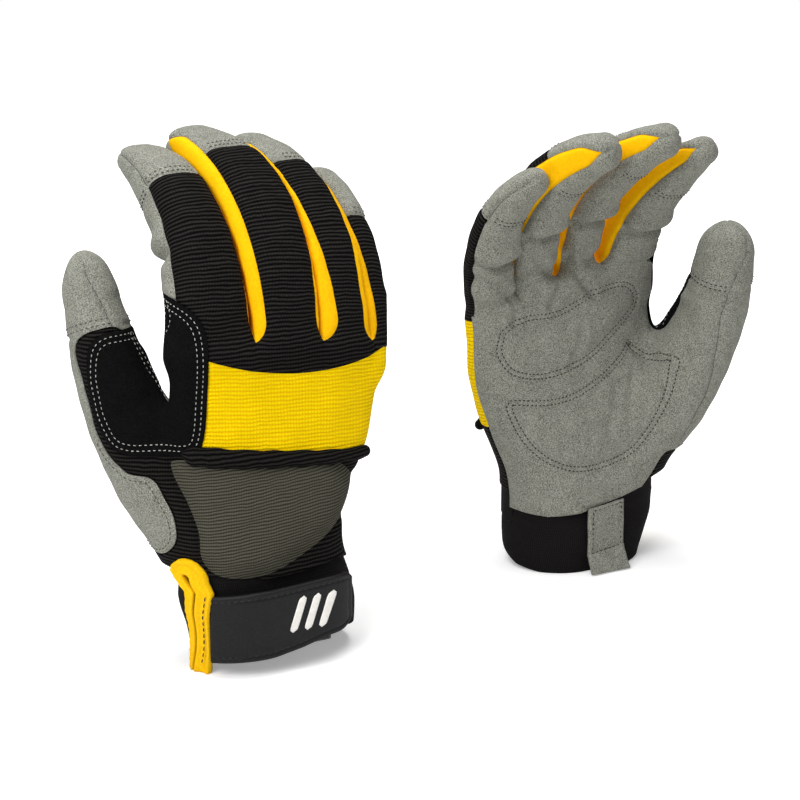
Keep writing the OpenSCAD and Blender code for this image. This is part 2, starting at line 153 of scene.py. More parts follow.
class Limb:
    """A bent tube: stations along a centreline, each with its own frame, half width and half depth."""

    def __init__(self, path, side, halves, tip, heel, power):
        fine = np.linspace(0, 1, 400)
        c = bezier(path, fine)
        run = np.concatenate([[0], np.cumsum(np.linalg.norm(np.diff(c, axis=0), axis=1))])
        self.run = np.linspace(0, run[-1] - tip, 48)
        t = np.interp(self.run, run, fine)
        self.middle = bezier(path, t)
        self.along = unit(np.gradient(self.middle, axis=0))
        side = np.asarray(side, float)
        self.side = unit(side - (self.along @ side)[:, None] * self.along)
        self.back = np.cross(self.side, self.along)
        self.half = bezier(halves, t)
        self.length, self.tip, self.heel, self.power = run[-1], tip, heel, power
        reach = self.half.max() + max(tip, heel) + 8
        self.low, self.high = self.middle.min(0) - reach, self.middle.max(0) + reach

    def at(self, f):
        """Middle, along, side, back and half sizes at places f counted in stations."""
        j = np.clip(f.astype(int), 0, len(self.run) - 2)
        w = (f - j)[:, None]
        rows = (self.middle, self.along, self.side, self.back, self.half, self.run[:, None])
        return [mix(r[j], r[j + 1], w) for r in rows]

    def measure(self, p):
        """Per point: height above the tube, length along it and degrees round it (0 side, 90 back).

        The section is a superellipse |u/a|^n + |v/b|^n = w^n, rounded off past the ends as
        q^2 = w^2 + (x/e)^2. The height over q = 1 is (q - 1) / slope of q.
        """
        last, n = len(self.run) - 1, self.power
        d2 = (p**2).sum(1)[:, None] - 2 * p @ self.middle.T + (self.middle**2).sum(1)
        i = d2.argmin(1)
        f = np.clip(i + ((p - self.middle[i]) * self.along[i]).sum(1) / self.run[1], 0, last)
        c, along, side, back, half, run = self.at(f)
        u, v, x = (((p - c) * d).sum(1) for d in (side, back, along))
        x = np.where(f >= last - 1e-9, np.maximum(x, 0), np.where(f <= 1e-9, np.minimum(x, 0), 0))
        a, b, e = half[:, 0], half[:, 1], np.where(x < 0, self.heel, self.tip)
        au, av = np.abs(u / a), np.abs(v / b)
        w = np.maximum(au**n + av**n, 1e-9)**(1 / n)
        q = np.maximum(np.sqrt(w**2 + (x / e)**2), 1e-6)
        across = w**(2 - n) * np.sqrt((au**(n - 1) / a)**2 + (av**(n - 1) / b)**2)
        slope = np.sqrt(across**2 + (x / e**2)**2) / q
        return (q - 1) / np.maximum(slope, 1e-4), run[:, 0] + x, np.degrees(np.arctan2(v / b, u / a)) % 360

    def place(self, length, angle):
        """Points on the tube at lengths along it and angles round it."""
        f = np.interp(np.minimum(length, self.run[-1]), self.run, np.arange(len(self.run)))
        c, along, side, back, half, _ = self.at(f)
        past = np.clip((length - self.run[-1]) / self.tip, 0, 1)
        shrink = np.sqrt(1 - past**2)
        cos, sin = np.cos(np.radians(angle)), np.sin(np.radians(angle))
        out = shrink / (np.abs(cos)**self.power + np.abs(sin)**self.power)**(1 / self.power)
        across = side * (half[:, 0] * cos * out)[:, None] + back * (half[:, 1] * sin * out)[:, None]
        return c + across + along * (past * self.tip)[:, None]


def finger_limb(g, name):
    """Finger: knuckle, then three straight handles of its Bezier path, each bent further than the last."""
    length, leans, bends, (root, body, end) = DIGITS[g][name]
    path = [np.array(KNUCKLES[name], float)]
    for share, lean, bend in zip(FINGER_SHARES, np.radians(leans), np.radians(bends)):
        way = np.array([np.sin(lean), np.cos(lean) * np.sin(bend), np.cos(lean) * np.cos(bend)])
        path.append(path[-1] + share * length * way)
    lean = np.radians(leans[0])
    side = (np.cos(lean), 0, -np.sin(lean))
    return Limb(path, side, (root, body, body, end), FINGER_TIP, FINGER_HEEL, SQUARENESS)


class Glove:
    """One glove's skin: a hand that thins upwards, a thumb melted into it, and four fingers on top."""

    def __init__(self, g):
        self.g = g
        path, radii, tip = THUMBS[g]
        r = np.array(radii, float)
        self.limbs = {n: finger_limb(g, n) for n in FINGERS}
        self.limbs["thumb"] = Limb(path, THUMB_SIDE, np.stack([r, r], 1), tip, THUMB_HEEL, 2)
        low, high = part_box(self.node("cuff_band"))
        self.turn = 1 if g == 1 else -1
        middle = (np.array(low) + np.array(high)) / 2 / MM
        self.origin = np.array([middle[0] - CUFF_SHIFT * self.turn, middle[1], 0])

    def node(self, name):
        """A node's or body's full name on this glove."""
        return f"glove{self.g}_{name}"

    def sag(self, x):
        """How much lower the second glove's back hangs towards the little finger."""
        return 10 * ease((x - 15) / 25) * (self.g == 2)

    def row(self, p):
        """Points of this glove in the shared frame, in metres: the second glove is turned half way round."""
        return (np.asarray(p) * [self.turn, self.turn, 1] + self.origin) * MM

    def above_slots(self, p):
        """Height above the line of the slots, which climbs towards the palm."""
        low, rise = (np.interp(p[:, 0], SLOT_X, row) for row in (SLOT_Z, SLOT_RISE))
        return p[:, 2] - low - rise * np.clip(p[:, 1] + 12, 0, 30)

    def hand(self, p):
        """Height above the hand, and angle round it: a superellipse at every height, rounded on top."""
        z = p[:, 2]
        cx, a, b = (curve_through(z, HAND_Z, row) for row in HAND[self.g])
        u, v = (p[:, 0] - cx) / a, (p[:, 1] + ease((z - 36) / 80)) / b
        au, av, n = np.abs(u), np.abs(v), SQUARENESS
        q = np.maximum(au**n + av**n, 1e-9)**(1 / n)
        slope = q**(1 - n) * np.sqrt((au**(n - 1) / a)**2 + (av**(n - 1) / b)**2)
        side = (q - 1) / np.maximum(slope, 1e-4)
        top = self.above_slots(p) - 0.5
        return -lower(-side, -top, TOP_MELT), z, np.degrees(np.arctan2(-v, u)) % 360

    def measure(self, p, names):
        """Height, length and angle of each point on the hand and on the named limbs."""
        out = {"hand": self.hand(p)}
        for n in names:
            limb = self.limbs[n]
            near = ((p > limb.low) & (p < limb.high)).all(1)
            rows = [np.full(len(p), 60.0), np.zeros(len(p)), np.zeros(len(p))]
            if near.any():
                for row, found in zip(rows, limb.measure(p[near])):
                    row[near] = found
            out[n] = rows
        return out

    def skin(self, p, finger=None):
        """Height above the glove; for one finger, above that finger and the hand, kept off its neighbours."""
        names = ("thumb",) + (FINGERS if finger is None else (finger,) + NEXT_TO[finger])
        m = self.measure(p, names)
        palm = lower(m["hand"][0], m["thumb"][0], THUMB_MELT)
        if finger is None:
            return np.min([palm] + [lower(palm, m[n][0], FINGER_MELT) for n in FINGERS], axis=0)
        f = lower(palm, m[finger][0], FINGER_MELT)
        rise = np.maximum(0, 2 - self.above_slots(p))
        for n in NEXT_TO[finger]:
            f = np.maximum(f, (m[finger][0] - m[n][0]) / 2 + FINGER_GAP - rise)
        return f

    def slope(self, p, finger=None, e=0.2):
        """Gradient of the skin's height, by differences."""
        steps = e * np.eye(3)
        return np.stack([(self.skin(p + d, finger) - self.skin(p - d, finger)) / (2 * e) for d in steps], 1)

    def settle(self, p, finger=None, rounds=3):
        """Moves points on to the skin along its gradient."""
        for _ in range(rounds):
            g = self.slope(p, finger)
            f = np.clip(self.skin(p, finger) / np.maximum((g**2).sum(1), 0.05), -1.5, 1.5)
            p = p - f[:, None] * g
        return p


def skin_mesh(field, low, high):
    """Vertices and triangles of field = 0: one vertex in each cell of a STEP lattice that it passes through,
    one square across each lattice edge that it crosses."""
    low = np.floor(np.asarray(low) / STEP) * STEP
    axes = [np.arange(a, b + STEP, STEP) for a, b in zip(low, high)]
    n = [len(a) for a in axes]
    p = np.stack(np.meshgrid(*axes, indexing="ij"), -1).reshape(-1, 3)
    parts = np.array_split(p, len(p) // 100000 + 1)
    inside = np.concatenate([field(part) < 0 for part in parts]).reshape(n)
    ends = (slice(0, -1), slice(1, None))
    count = np.sum([inside[i, j, k] for i in ends for j in ends for k in ends], axis=0)
    live = (count > 0) & (count < 8)
    ids = np.full(live.shape, -1)
    ids[live] = np.arange(live.sum())
    points = (np.argwhere(live) + 0.5) * STEP + low
    tris = []
    for a, b, c in ((0, 1, 2), (1, 2, 0), (2, 0, 1)):
        first = np.take(inside, range(n[a] - 1), a)
        at = np.argwhere(first != np.take(inside, range(1, n[a]), a))
        at = at[(at[:, b] > 0) & (at[:, c] > 0) & (at[:, b] < n[b] - 1) & (at[:, c] < n[c] - 1)]
        steps = np.eye(3, dtype=int)
        around = (steps[b] + steps[c], steps[c], 0 * steps[b], steps[b])
        square = np.stack([ids[tuple((at - s).T)] for s in around], 1)
        out = first[tuple(at.T)]
        square = np.where(out[:, None], square, square[:, ::-1])
        tris += [square[:, [0, 1, 2]], square[:, [0, 2, 3]]]
    tris = np.concatenate(tris)
    return points, tris[(tris >= 0).all(1)]


def halved(points, tris):
    """Each triangle split in four at the middles of its sides."""
    sides = np.sort(tris[:, [[0, 1], [1, 2], [2, 0]]].reshape(-1, 2), axis=1)
    pairs, back = np.unique(sides, axis=0, return_inverse=True)
    m = back.reshape(-1, 3) + len(points)
    a, b, c = tris.T
    d, e, f = m.T
    tris = np.concatenate([np.stack(t, 1) for t in ((a, d, f), (b, e, d), (c, f, e), (d, e, f))])
    return np.concatenate([points, points[pairs].mean(1)]), tris


def started_at(tris, k):
    """Triangles with their corners turned round so that each starts at its corner k."""
    return tris[np.arange(len(tris))[:, None], (k[:, None] + np.arange(3)) % 3]


def clipped(points, tris, s):
    """The part of a mesh where s is above 0, cut along s = 0 with straight cuts across the triangles."""
    s = np.where(np.abs(s) < 0.04, 0, s)
    below = s[tris] < 0
    count = below.sum(1)
    whole = tris[(count == 0) & (s[tris] > 0).any(1)]
    one = started_at(tris[count == 1], below[count == 1].argmax(1))
    two = started_at(tris[count == 2], (~below[count == 2]).argmax(1))
    two = two[s[two[:, 0]] > 0]
    cuts = np.concatenate([one[:, [1, 0]], one[:, [2, 0]], two[:, [0, 1]], two[:, [0, 2]]])
    pairs, back = np.unique(cuts, axis=0, return_inverse=True)
    t = (s[pairs[:, 0]] / (s[pairs[:, 0]] - s[pairs[:, 1]]))[:, None]
    on_edge = s[pairs[:, 0]] == 0
    new = np.where(on_edge, pairs[:, 0], len(points) + np.arange(len(pairs)))[back.reshape(-1)]
    points = np.concatenate([points, mix(points[pairs[:, 0]], points[pairs[:, 1]], t)])
    n1, n2 = len(one), len(two)
    e1, e2, e3, e4 = np.split(new, np.cumsum([n1, n1, n2]))
    cut = ((one[:, 1], one[:, 2], e2), (one[:, 1], e2, e1), (two[:, 0], e3, e4))
    tris = np.concatenate([whole] + [np.stack(t, 1) for t in cut])
    tris = tris[(tris[:, 0] != tris[:, 1]) & (tris[:, 1] != tris[:, 2]) & (tris[:, 2] != tris[:, 0])]
    used, back = np.unique(tris, return_inverse=True)
    return points[used], back.reshape(-1, 3)


# Cut lines. The back's pieces are laid out on a flat chart seen square on to the thumb's web: across and up.
ACROSS = np.array([0.861, -0.509, 0])
FACING = np.array([-0.509, -0.861, 0])
SADDLE = (
    (-47, 148), (-39, 146.5), (-32, 142.5), (-27.8, 136.5), (-25.9, 126), (-26.8, 110), (-28, 96),
    (-30.5, 89.5), (-36, 87), (-46, 86.3), (-59, 86.5), (-66, 90), (-70.5, 98), (-73, 106), (-74.6, 116),
    (-73.4, 126), (-68, 131), (-57, 132), (-48, 133), (-44, 140),
)
PAD = (
    (-41.5, 81), (-38, 85), (-11, 83), (12, 81.2), (23, 78), (28, 70), (26.5, 60), (21.5, 52.5),
    (11, 45.7), (-1, 40.5), (-12, 39), (-24, 41), (-30, 47), (-31, 57), (-34.5, 67),
)
# The end of the palm suede that wraps the base of the thumb, seen from the thumb side: Y and Z.
FLAP = (
    (36, 127), (33, 119), (26, 104), (20, 89), (10, 79.5), (2.5, 77.5), (-1.5, 70), (-4.8, 61), (-4.6, 53),
    (1, 47.3), (10, 46), (20, 49), (30, 52), (80, 60), (90, 110), (80, 170), (40, 160),
)
# The palm's quilted pads, X and Z.
UPPER_PAD = (
    (43, 107), (41, 114), (29, 118), (12, 119), (-5, 126), (-22, 128.5), (-30, 123.5), (-30, 115.5),
    (-17, 105), (-3, 96), (13, 91), (26, 90), (37, 93), (42, 100),
)
HEEL_PAD = (
    (-27, 101), (-28.5, 99), (-34, 95), (-37, 96), (-39.5, 94.5), (-38.5, 88), (-35.5, 76), (-30, 64),
    (-21, 53.5), (-8, 48.3), (8, 47.3), (20, 51), (29, 58), (35, 67), (39, 76.5), (38.6, 80), (36, 81.3),
    (21, 80.3), (7, 82), (-8, 88), (-20, 95.5), (-25.6, 101),
)
# Lower edges of the palm and of the wrist's knit, Z against X, and the side seam, Y against Z.
PALM_EDGE = ((-46, -44, -34, -26, -10, 7, 21, 29, 40), (58, 56, 45, 36, 32, 28, 27, 28, 30))
WRIST_EDGE = ((-50, -41, -30, -20, 0, 14, 29, 40), (41, 41, 39, 38, 38.5, 40, 36, 34))
SIDE_SEAM = ((20, 34, 50, 80, 110, 130), (0, 0, -0.5, 0.5, 1.5, 1.5))
# Where the thumb starts to bend and which way it goes, the length to its cap, and the fingers' way.
WEB = np.array([-46, 9, 103.0])
THUMB_WAY = np.array([-0.3, 0.4, 0.866])
THUMB_CAP = 103.5
FINGER_WAY = np.array([0, -0.287, 0.958])
# The thumb's outer and inner seam: angle round it against length along it.
THUMB_RIDGE = ((20, 31, 44, 56, 71, 92, 103, 115, 127), (163, 167, 174, 178, 193, 207, 202, 188, 151))
THUMB_INNER = ((103, 114, 125), (-3, 5, 23))
# Creases of the palm where the fingers and the thumb bend it: depth, then points X and Z.
CREASES = (
    (0.9, ((58, 138), (53.5, 135.5), (46.5, 132.4), (40, 128))),
    (0.9, ((12.6, 154.6), (9.3, 146.4), (5.6, 138), (0.3, 130), (-5, 125))),
    (0.8, ((8, 142), (10.3, 134.7), (14, 127.4), (17, 122))),
    (0.9, ((36, 152), (28, 142.7), (21.8, 138), (15, 134))),
    (0.6, ((38, 126), (35, 120.7), (36, 115))),
    (0.45, ((-26, 88.6), (-22.8, 77.7), (-19, 66))),
    (0.45, ((-33.5, 93), (-30.3, 84), (-27, 75))),
    (0.35, ((-14, 79.5), (-11.8, 72), (-8.4, 65))),
    (0.5, ((2.2, 111), (3, 103), (8, 94))),
    (0.8, ((-43, 119), (-42.4, 105), (-41, 90))),
)
# Per finger: the angles of its four seams at root and tip, then the shares of its length at which the cap
# starts on the back and on the front.
SEAMS = {
    "index": ((54, 40), (160, 160), (160, 160), (-24, -19), 0.687, 0.66),
    "middle": ((50, 38), (131, 138), (215, 205), (-33, -13), 0.755, 0.735),
    "ring": ((50, 34), (101, 126), (215, 205), (-33, -27), 0.74, 0.69),
    "little": ((-10, 2), (84, 108), (215, 205), (-10, 2), 0.66, 0.67),
}
# Waves of the cloth's slow swelling: radians per millimetre along X, Y and Z, and phase.
WAVES = (
    (0.21, 0.05, 0.11, 0.3), (-0.07, 0.19, 0.16, 1.9), (0.12, -0.16, 0.23, 4.1), (0.33, 0.21, -0.09, 2.2),
    (-0.18, 0.3, 0.35, 5.2),
)
WAVE_HEIGHT = 0.11
CREASE_SCALE = 1.5
# Millimetres per degree round a finger, and round the thumb's outer and inner side.
FINGER_ARC = 0.19
OUTER_ARC = 0.24
INNER_ARC = 0.22


def loop_through(points, n=160):
    """Closed smooth line through points: a cubic between each two, sloped as their neighbours lie."""
    p = np.asarray(points, float)
    t = np.linspace(0, len(p), n, endpoint=False)
    i = t.astype(int)
    a, b, c, d = (p[(i + k) % len(p)] for k in (-1, 0, 1, 2))
    f = (t - i)[:, None]
    return b + 0.5 * f * (c - a + f * (2 * a - 5 * b + 4 * c - d + f * (3 * b - a - 3 * c + d)))


def inside_by(q, loop):
    """Distance of flat points from a closed line, above 0 inside; counting crossings gives the sign."""
    a, b = loop, np.roll(loop, -1, axis=0)
    e = b - a
    rise = np.where(np.abs(e[:, 1]) < 1e-9, 1e-9, e[:, 1])
    out = []
    for part in np.array_split(q, len(q) // 20000 + 1):
        w = part[:, None] - a
        t = np.clip((w * e).sum(-1) / (e**2).sum(-1), 0, 1)
        near = np.sqrt(((w - t[..., None] * e)**2).sum(-1).min(1))
        crosses = (a[:, 1] > part[:, 1:]) != (b[:, 1] > part[:, 1:])
        left = part[:, :1] < a[:, 0] + (part[:, 1:] - a[:, 1]) / rise * e[:, 0]
        out.append(np.where((crosses & left).sum(1) % 2 == 1, near, -near))
    return np.concatenate(out)


def turn_between(angle, start, end):
    """Degrees inside the arc from start to end, below 0 outside it."""
    middle, half = (start + end) / 2, (end - start) / 2
    return half - np.abs((angle - middle + 180) % 360 - 180)


def notch(d, width):
    """1 on the line d = 0, falling off as a bell of that width."""
    return np.exp(-(d / width)**2)


class Skin:
    """A mesh with named values at its vertices, which go with it when it is cut."""

    def __init__(self, tris, **values):
        self.tris, self.values = tris, values

    def __getitem__(self, name):
        return self.values[name]

    def keep(self, s):
        """The part where s is above 0."""
        columns = [v.reshape(len(v), -1) for v in self.values.values()]
        flat, tris = clipped(np.concatenate(columns, 1), self.tris, s)
        parts = np.split(flat, np.cumsum([c.shape[1] for c in columns])[:-1], axis=1)
        return Skin(tris, **{k: p if p.shape[1] == 3 else p[:, 0] for k, p in zip(self.values, parts)})


def soft_folds(p):
    """Slow uneven swelling of worn cloth, about a quarter of a millimetre, and the creases of the palm."""
    h = sum(WAVE_HEIGHT * np.sin(a * p[:, 0] + b * p[:, 1] + c * p[:, 2] + d) for a, b, c, d in WAVES)
    palm = ease((p[:, 1] - 3) / 5)
    for depth, points in CREASES:
        d = line_distance(p[:, [0, 2]], np.array(points, float))
        h = h - CREASE_SCALE * depth * palm * (notch(d, 1.8) - 0.5 * notch(d - 4, 2.2))
    return h


def line_distance(q, points):
    """Distance of flat points from an open line of straight pieces."""
    near = np.full(len(q), 99.0)
    for a, b in zip(points[:-1], points[1:]):
        t = np.clip((q - a) @ (b - a) / ((b - a) @ (b - a)), 0, 1)
        near = np.minimum(near, np.linalg.norm(q - a - t[:, None] * (b - a), axis=1))
    return near


def in_saddle(chart, out):
    """Distance inside the web patch, on the side that faces the chart."""
    return np.minimum(inside_by(chart, loop_through(SADDLE)), 12 * (out @ FACING + 0.12))


def hand_values(glove, p, out):
    """Where points lie against every cut line of the hand and thumb, in millimetres."""
    m = glove.measure(p, ("thumb",) + FINGERS)
    x, y, z = p.T
    chart = np.stack([p @ ACROSS, z], 1)
    flat = np.stack([x, z], 1)
    _, length, angle = m["thumb"]
    others = np.min([m[n][0] for n in FINGERS], axis=0)
    on_thumb = np.minimum(np.minimum(m["hand"][0], others) - m["thumb"][0] + 2, (p - WEB) @ THUMB_WAY)
    inner = np.minimum(OUTER_ARC * turn_between(angle, 165, 330), z - 91)
    flap = np.maximum(inside_by(np.stack([y, z], 1), loop_through(FLAP)), inner)
    seam = np.interp(z, *SIDE_SEAM)
    edge = np.interp(x, *PALM_EDGE)
    grey = mix(flap, np.minimum(y - seam, z - edge), ease((x + 40) / 8))
    cap = np.minimum(length - THUMB_CAP, on_thumb)
    grey = -lower(-grey, -cap, 9)
    band_top = 116 + 9 * ((x - 8) / 46)**2 - 0.8 * glove.sag(x)
    band_low = 84.6 - 0.09 * x - 1.3 * glove.sag(x)
    pad = inside_by(chart, loop_through(PAD))
    pad = np.where(out @ FACING > -0.3, pad, -20)
    palm = y > 0
    upper = np.where(palm, inside_by(flat, loop_through(UPPER_PAD)), -20)
    heel = np.where(palm & (x > -44), inside_by(flat, loop_through(HEEL_PAD)), -20)
    return {
        "at": p, "out": out, "thumb": on_thumb, "grey": grey, "saddle": in_saddle(chart, out), "pad": pad,
        "cap": cap, "upper": upper, "heel": heel, "band_top": z - band_top, "band_low": z - band_low,
        "left": chart[:, 0] + 36, "hem": z - np.interp(x, *WRIST_EDGE), "length": length, "angle": angle,
        "across": chart[:, 0], "keep": np.maximum(-glove.above_slots(p), others - m["thumb"][0]),
    }


def hand_height(v):
    """Height of the cloth over the skin: folds, swollen pads, and the dips of seams and quilting rows."""
    h = soft_folds(v["at"])
    h = h + 2.3 * ease(v["pad"] / 8) - 0.9 * notch(v["pad"], 1.5) * (v["grey"] < 0)
    for pad in (v["upper"], v["heel"]):
        h = h + 1.8 * ease((pad - 1.5) / 8) - 0.6 * notch(pad, 0.9) - 0.6 * notch(pad - 2.1, 0.9)
    on_thumb = v["thumb"] > 0
    outer = (v["angle"] - np.interp(v["length"], *THUMB_RIDGE)) * OUTER_ARC
    h = h - 0.8 * notch(outer, 1.1) * ease((v["length"] - 24) / 10) * (v["at"][:, 0] < -36)
    inner = ((v["angle"] - np.interp(v["length"], *THUMB_INNER) + 180) % 360 - 180) * INNER_ARC
    h = h - 0.8 * notch(inner, 1.1) * ease((v["cap"] + 1) / 2)
    return h - 0.7 * notch(v["cap"], 1.0) * on_thumb * (v["grey"] > 2)


def finger_values(glove, name, p, out):
    """Where points lie against the seams of one finger, in millimetres."""
    limb = glove.limbs[name]
    m = glove.measure(p, (name, "thumb") + NEXT_TO[name])
    _, length, angle = m[name]
    share = length / limb.length
    slots = glove.above_slots(p)
    u1, r1, r2, u2 = (mix(a, b, ease(share)) for a, b in SEAMS[name][:4])
    cap_back, cap_front = (s * limb.length for s in SEAMS[name][4:])
    # The side strips taper to nothing at the fingertip and to a round end at the bottom of the slot.
    taper = 1 - ease((share - 0.88) / 0.11)
    wide, wide_palm = (taper * np.sqrt(1 - np.clip(1 - slots / h, 0, 1)**2) for h in (10, 4))
    r1, r2 = mix((r1 + r2) / 2, r1, wide), mix((r1 + r2) / 2, r2, wide_palm)
    u1, u2 = mix((u1 + u2) / 2, u1, wide), mix((u1 + u2) / 2, u2, wide_palm)
    across = p @ ACROSS
    saddle = np.full(len(p), -20.0)
    if name == "index":
        saddle = in_saddle(np.stack([across, p[:, 2]], 1), out)
    return {
        "at": p, "out": out, "saddle": saddle, "length": length, "angle": angle, "across": across,
        "slots": slots, "share": share, "back": FINGER_ARC * turn_between(angle, u1, r1),
        "front": FINGER_ARC * turn_between(angle, r2, u2 + 360),
        "side_r": FINGER_ARC * turn_between(angle, r1, r2),
        "side_u": FINGER_ARC * turn_between(angle, u2, u1),
        "cap": length - cap_back, "fold": length - cap_front,
        "own": np.min([m[n][0] for n in ("thumb",) + NEXT_TO[name]], axis=0) - m[name][0],
    }


def finger_height(v):
    """Height of the finger's cloth: folds, creases across the front, and the dips of the seams."""
    h = soft_folds(v["at"])
    front = ease((v["front"] + 1) / 4)
    for share, depth in ((0.18, 1.5), (0.4, 3.0)):
        bulge = 0.6 * notch((v["share"] - share - 0.07) * 100, 4)
        h = h - depth * (notch((v["share"] - share) * 100, 2.6) - bulge) * front
    h = h - 0.7 * notch(v["fold"], 1.0) * front
    seams = np.minimum(np.abs(v["front"]), np.abs(v["back"]))
    h = h - 0.75 * notch(seams, 1.2) * ease(v["slots"] / 4)
    return h - 0.5 * notch(v["cap"], 1.0) * (v["back"] > 0)


def corner_normals(points, tris):
    """Normals at the vertices: the sum of the faces' cross products, scaled to length 1."""
    a, b, c = points[tris].transpose(1, 0, 2)
    face = np.cross(b - a, c - a)
    total = np.stack([np.bincount(tris.ravel(), np.repeat(face[:, k], 3), len(points)) for k in range(3)], 1)
    return unit(total)


def put(glove, name, points, tris, cloth, uv=None, normals=None):
    """A mesh piece of one glove, placed in the shared frame, with its cloth coordinates in millimetres."""
    mesh = bpy.data.meshes.new(name)
    mesh.vertices.add(len(points))
    mesh.vertices.foreach_set("co", glove.row(points).astype(np.float32).ravel())
    mesh.loops.add(tris.size)
    mesh.loops.foreach_set("vertex_index", tris.astype(np.int32).ravel())
    mesh.polygons.add(len(tris))
    mesh.polygons.foreach_set("loop_start", np.arange(0, tris.size, 3, dtype=np.int32))
    mesh.polygons.foreach_set("use_smooth", np.ones(len(tris), bool))
    if uv is not None:
        layer = mesh.uv_layers.new(name="cloth")
        layer.data.foreach_set("uv", uv[tris.ravel()].astype(np.float32).ravel())
    mesh.update(calc_edges=True)
    if normals is not None:
        mesh.normals_split_custom_set_from_vertices(normals * [glove.turn, glove.turn, 1])
    mesh.materials.append(cloth)
    piece = bpy.data.objects.new(name, mesh)
    bpy.context.scene.collection.objects.link(piece)
    return piece


def ride_like(glove, piece, part):
    """Moves a piece with a body; a thumb's or a finger's piece only has its placement baked into its mesh."""
    hand, body = glove.node("hand"), glove.node(part)
    if part in FINGERS:
        root = np.array(KNUCKLES[part], float)
        root[2] = np.interp(root[0], SLOT_X, SLOT_Z) + 6
        glove.row(root)
        glove.row(root + 24 * FINGER_WAY)
        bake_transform(piece)
    elif part == "thumb":
        glove.row(WEB)
        glove.row(WEB + 30 * THUMB_WAY)
        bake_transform(piece)
    else:
        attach(piece, body)


def stand_in(glove, name, part, points, tris, cloth, uv=None):
    """A piece in the place of a CAD node, on that node's body."""
    piece = put(glove, glove.node(name), points, tris, cloth, uv)
    ride_like(glove, piece, part)
    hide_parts(glove.node(name))


def panel(glove, name, skin, height, cloth, uv, edge, thick=1.2):
    """A cut of cloth with thickness: outer face = skin + height, inner face lower, closed round its edge.

    Where the cut isn't a seam (edge, the distance from one, is large) the skin's own normals hide it.
    """
    p, out, tris, n = skin["at"], skin["out"], skin.tris, len(skin["at"])
    outer = p + height[:, None] * out
    inner = outer - thick * out
    sides = tris[:, [[0, 1], [1, 2], [2, 0]]].reshape(-1, 2)
    rim = sides[~np.isin(sides[:, 0] * n + sides[:, 1], sides[:, 1] * n + sides[:, 0])]
    a, b = rim.T
    wall = [np.stack([b, a, a + n], 1), np.stack([b, a + n, b + n], 1)]
    faces = np.concatenate([tris, tris[:, ::-1] + n] + wall)
    normals = corner_normals(outer, tris)
    plain = a[edge[a] > 1.5]
    normals[plain] = out[plain]
    return put(glove, glove.node(name), np.concatenate([outer, inner]), faces, cloth,
               np.concatenate([uv, uv]), np.concatenate([normals, -normals]))


def grid_tris(rows, columns, round_rows=False, round_columns=False):
    """Triangles of a grid of vertices, joined round in either direction."""
    i = np.arange(rows if round_rows else rows - 1)
    j = np.arange(columns if round_columns else columns - 1)
    i, j = (a.ravel() for a in np.meshgrid(i, j, indexing="ij"))
    i1, j1 = (i + 1) % rows, (j + 1) % columns
    a, b, c, d = i * columns + j, i1 * columns + j, i1 * columns + j1, i * columns + j1
    return np.concatenate([np.stack([a, b, c], 1), np.stack([a, c, d], 1)])


def tube(rings):
    """Vertices and triangles of rings (stations, points round, 3), closed at both ends with a fan."""
    s, k, _ = rings.shape
    tris = grid_tris(s, k, round_columns=True)
    points = np.concatenate([rings.reshape(-1, 3), rings[0].mean(0)[None], rings[-1].mean(0)[None]])
    j = np.arange(k)
    j1 = (j + 1) % k
    first = np.stack([np.full(k, s * k), j, j1], 1)
    last = np.stack([np.full(k, s * k + 1), (s - 1) * k + j1, (s - 1) * k + j], 1)
    return points, np.concatenate([tris, first, last])


def plate(face, back):
    """A closed slab between two grids of points, its faces turned outwards."""
    points, tris = tube(np.concatenate([face, back[:, ::-1]], axis=1))
    return points, tris[:, ::-1]


def spaced(path, pitch):
    """Points at even distances along a line, and the line's direction at each."""
    run = np.concatenate([[0], np.cumsum(np.linalg.norm(np.diff(path, axis=0), axis=1))])
    count = max(int(run[-1] / pitch), 1)
    at = (np.arange(count) + 0.5) * run[-1] / count
    shifts = (-pitch / 4, 0, pitch / 4)
    before, place, after = (np.stack([np.interp(at + d, run, c) for c in path.T], 1) for d in shifts)
    return place, unit(after - before)


def thread(at, way, up, length=1.75, radius=0.3):
    """Stitches: a little capsule at each place, half sunk in the cloth and pulled down at its ends."""
    t = np.linspace(-1, 1, 5)
    a = np.arange(6) * np.pi / 3
    along = (t * length / 2)[:, None] * np.ones(6)
    r = radius * np.sqrt(1 - 0.75 * t**4)[:, None]
    across, high = r * np.cos(a), r * np.sin(a) + 0.12 - 0.3 * (t**2)[:, None]
    side = np.cross(way, up)
    shape = [d[:, None, None, :] * c[None, :, :, None] for d, c in ((way, along), (side, across), (up, high))]
    points = (at[:, None, None, :] + sum(shape)).reshape(len(at), -1, 3)
    start = np.array([[0, k + 1, k] for k in range(1, 5)])
    one = np.concatenate([grid_tris(5, 6, round_columns=True), start, start[:, ::-1] + 24])
    tris = one[None] + (np.arange(len(at)) * 30)[:, None, None]
    return points.reshape(-1, 3), tris.reshape(-1, 3)


def joined(parts):
    """Several (points, triangles) pairs as one."""
    counts = np.cumsum([0] + [len(p) for p, _ in parts[:-1]])
    tris = [t + c for (_, t), c in zip(parts, counts)]
    return np.concatenate([p for p, _ in parts]), np.concatenate(tris)


def cast(glove, start, way, finger=None):
    """Where straight lines first meet the skin, stepping by the skin's height; misses are left out."""
    p = np.array(start, float)
    for _ in range(90):
        p = p + np.clip(glove.skin(p, finger), -2, 6)[:, None] * way * 0.9
    return p[np.abs(glove.skin(p, finger)) < 0.4]


def from_chart(glove, line, finger=None):
    """Points of the back's flat chart laid on the skin."""
    start = line[:, :1] * ACROSS + line[:, 1:] * [0, 0, 1] + 120 * FACING
    return cast(glove, start, -FACING, finger)


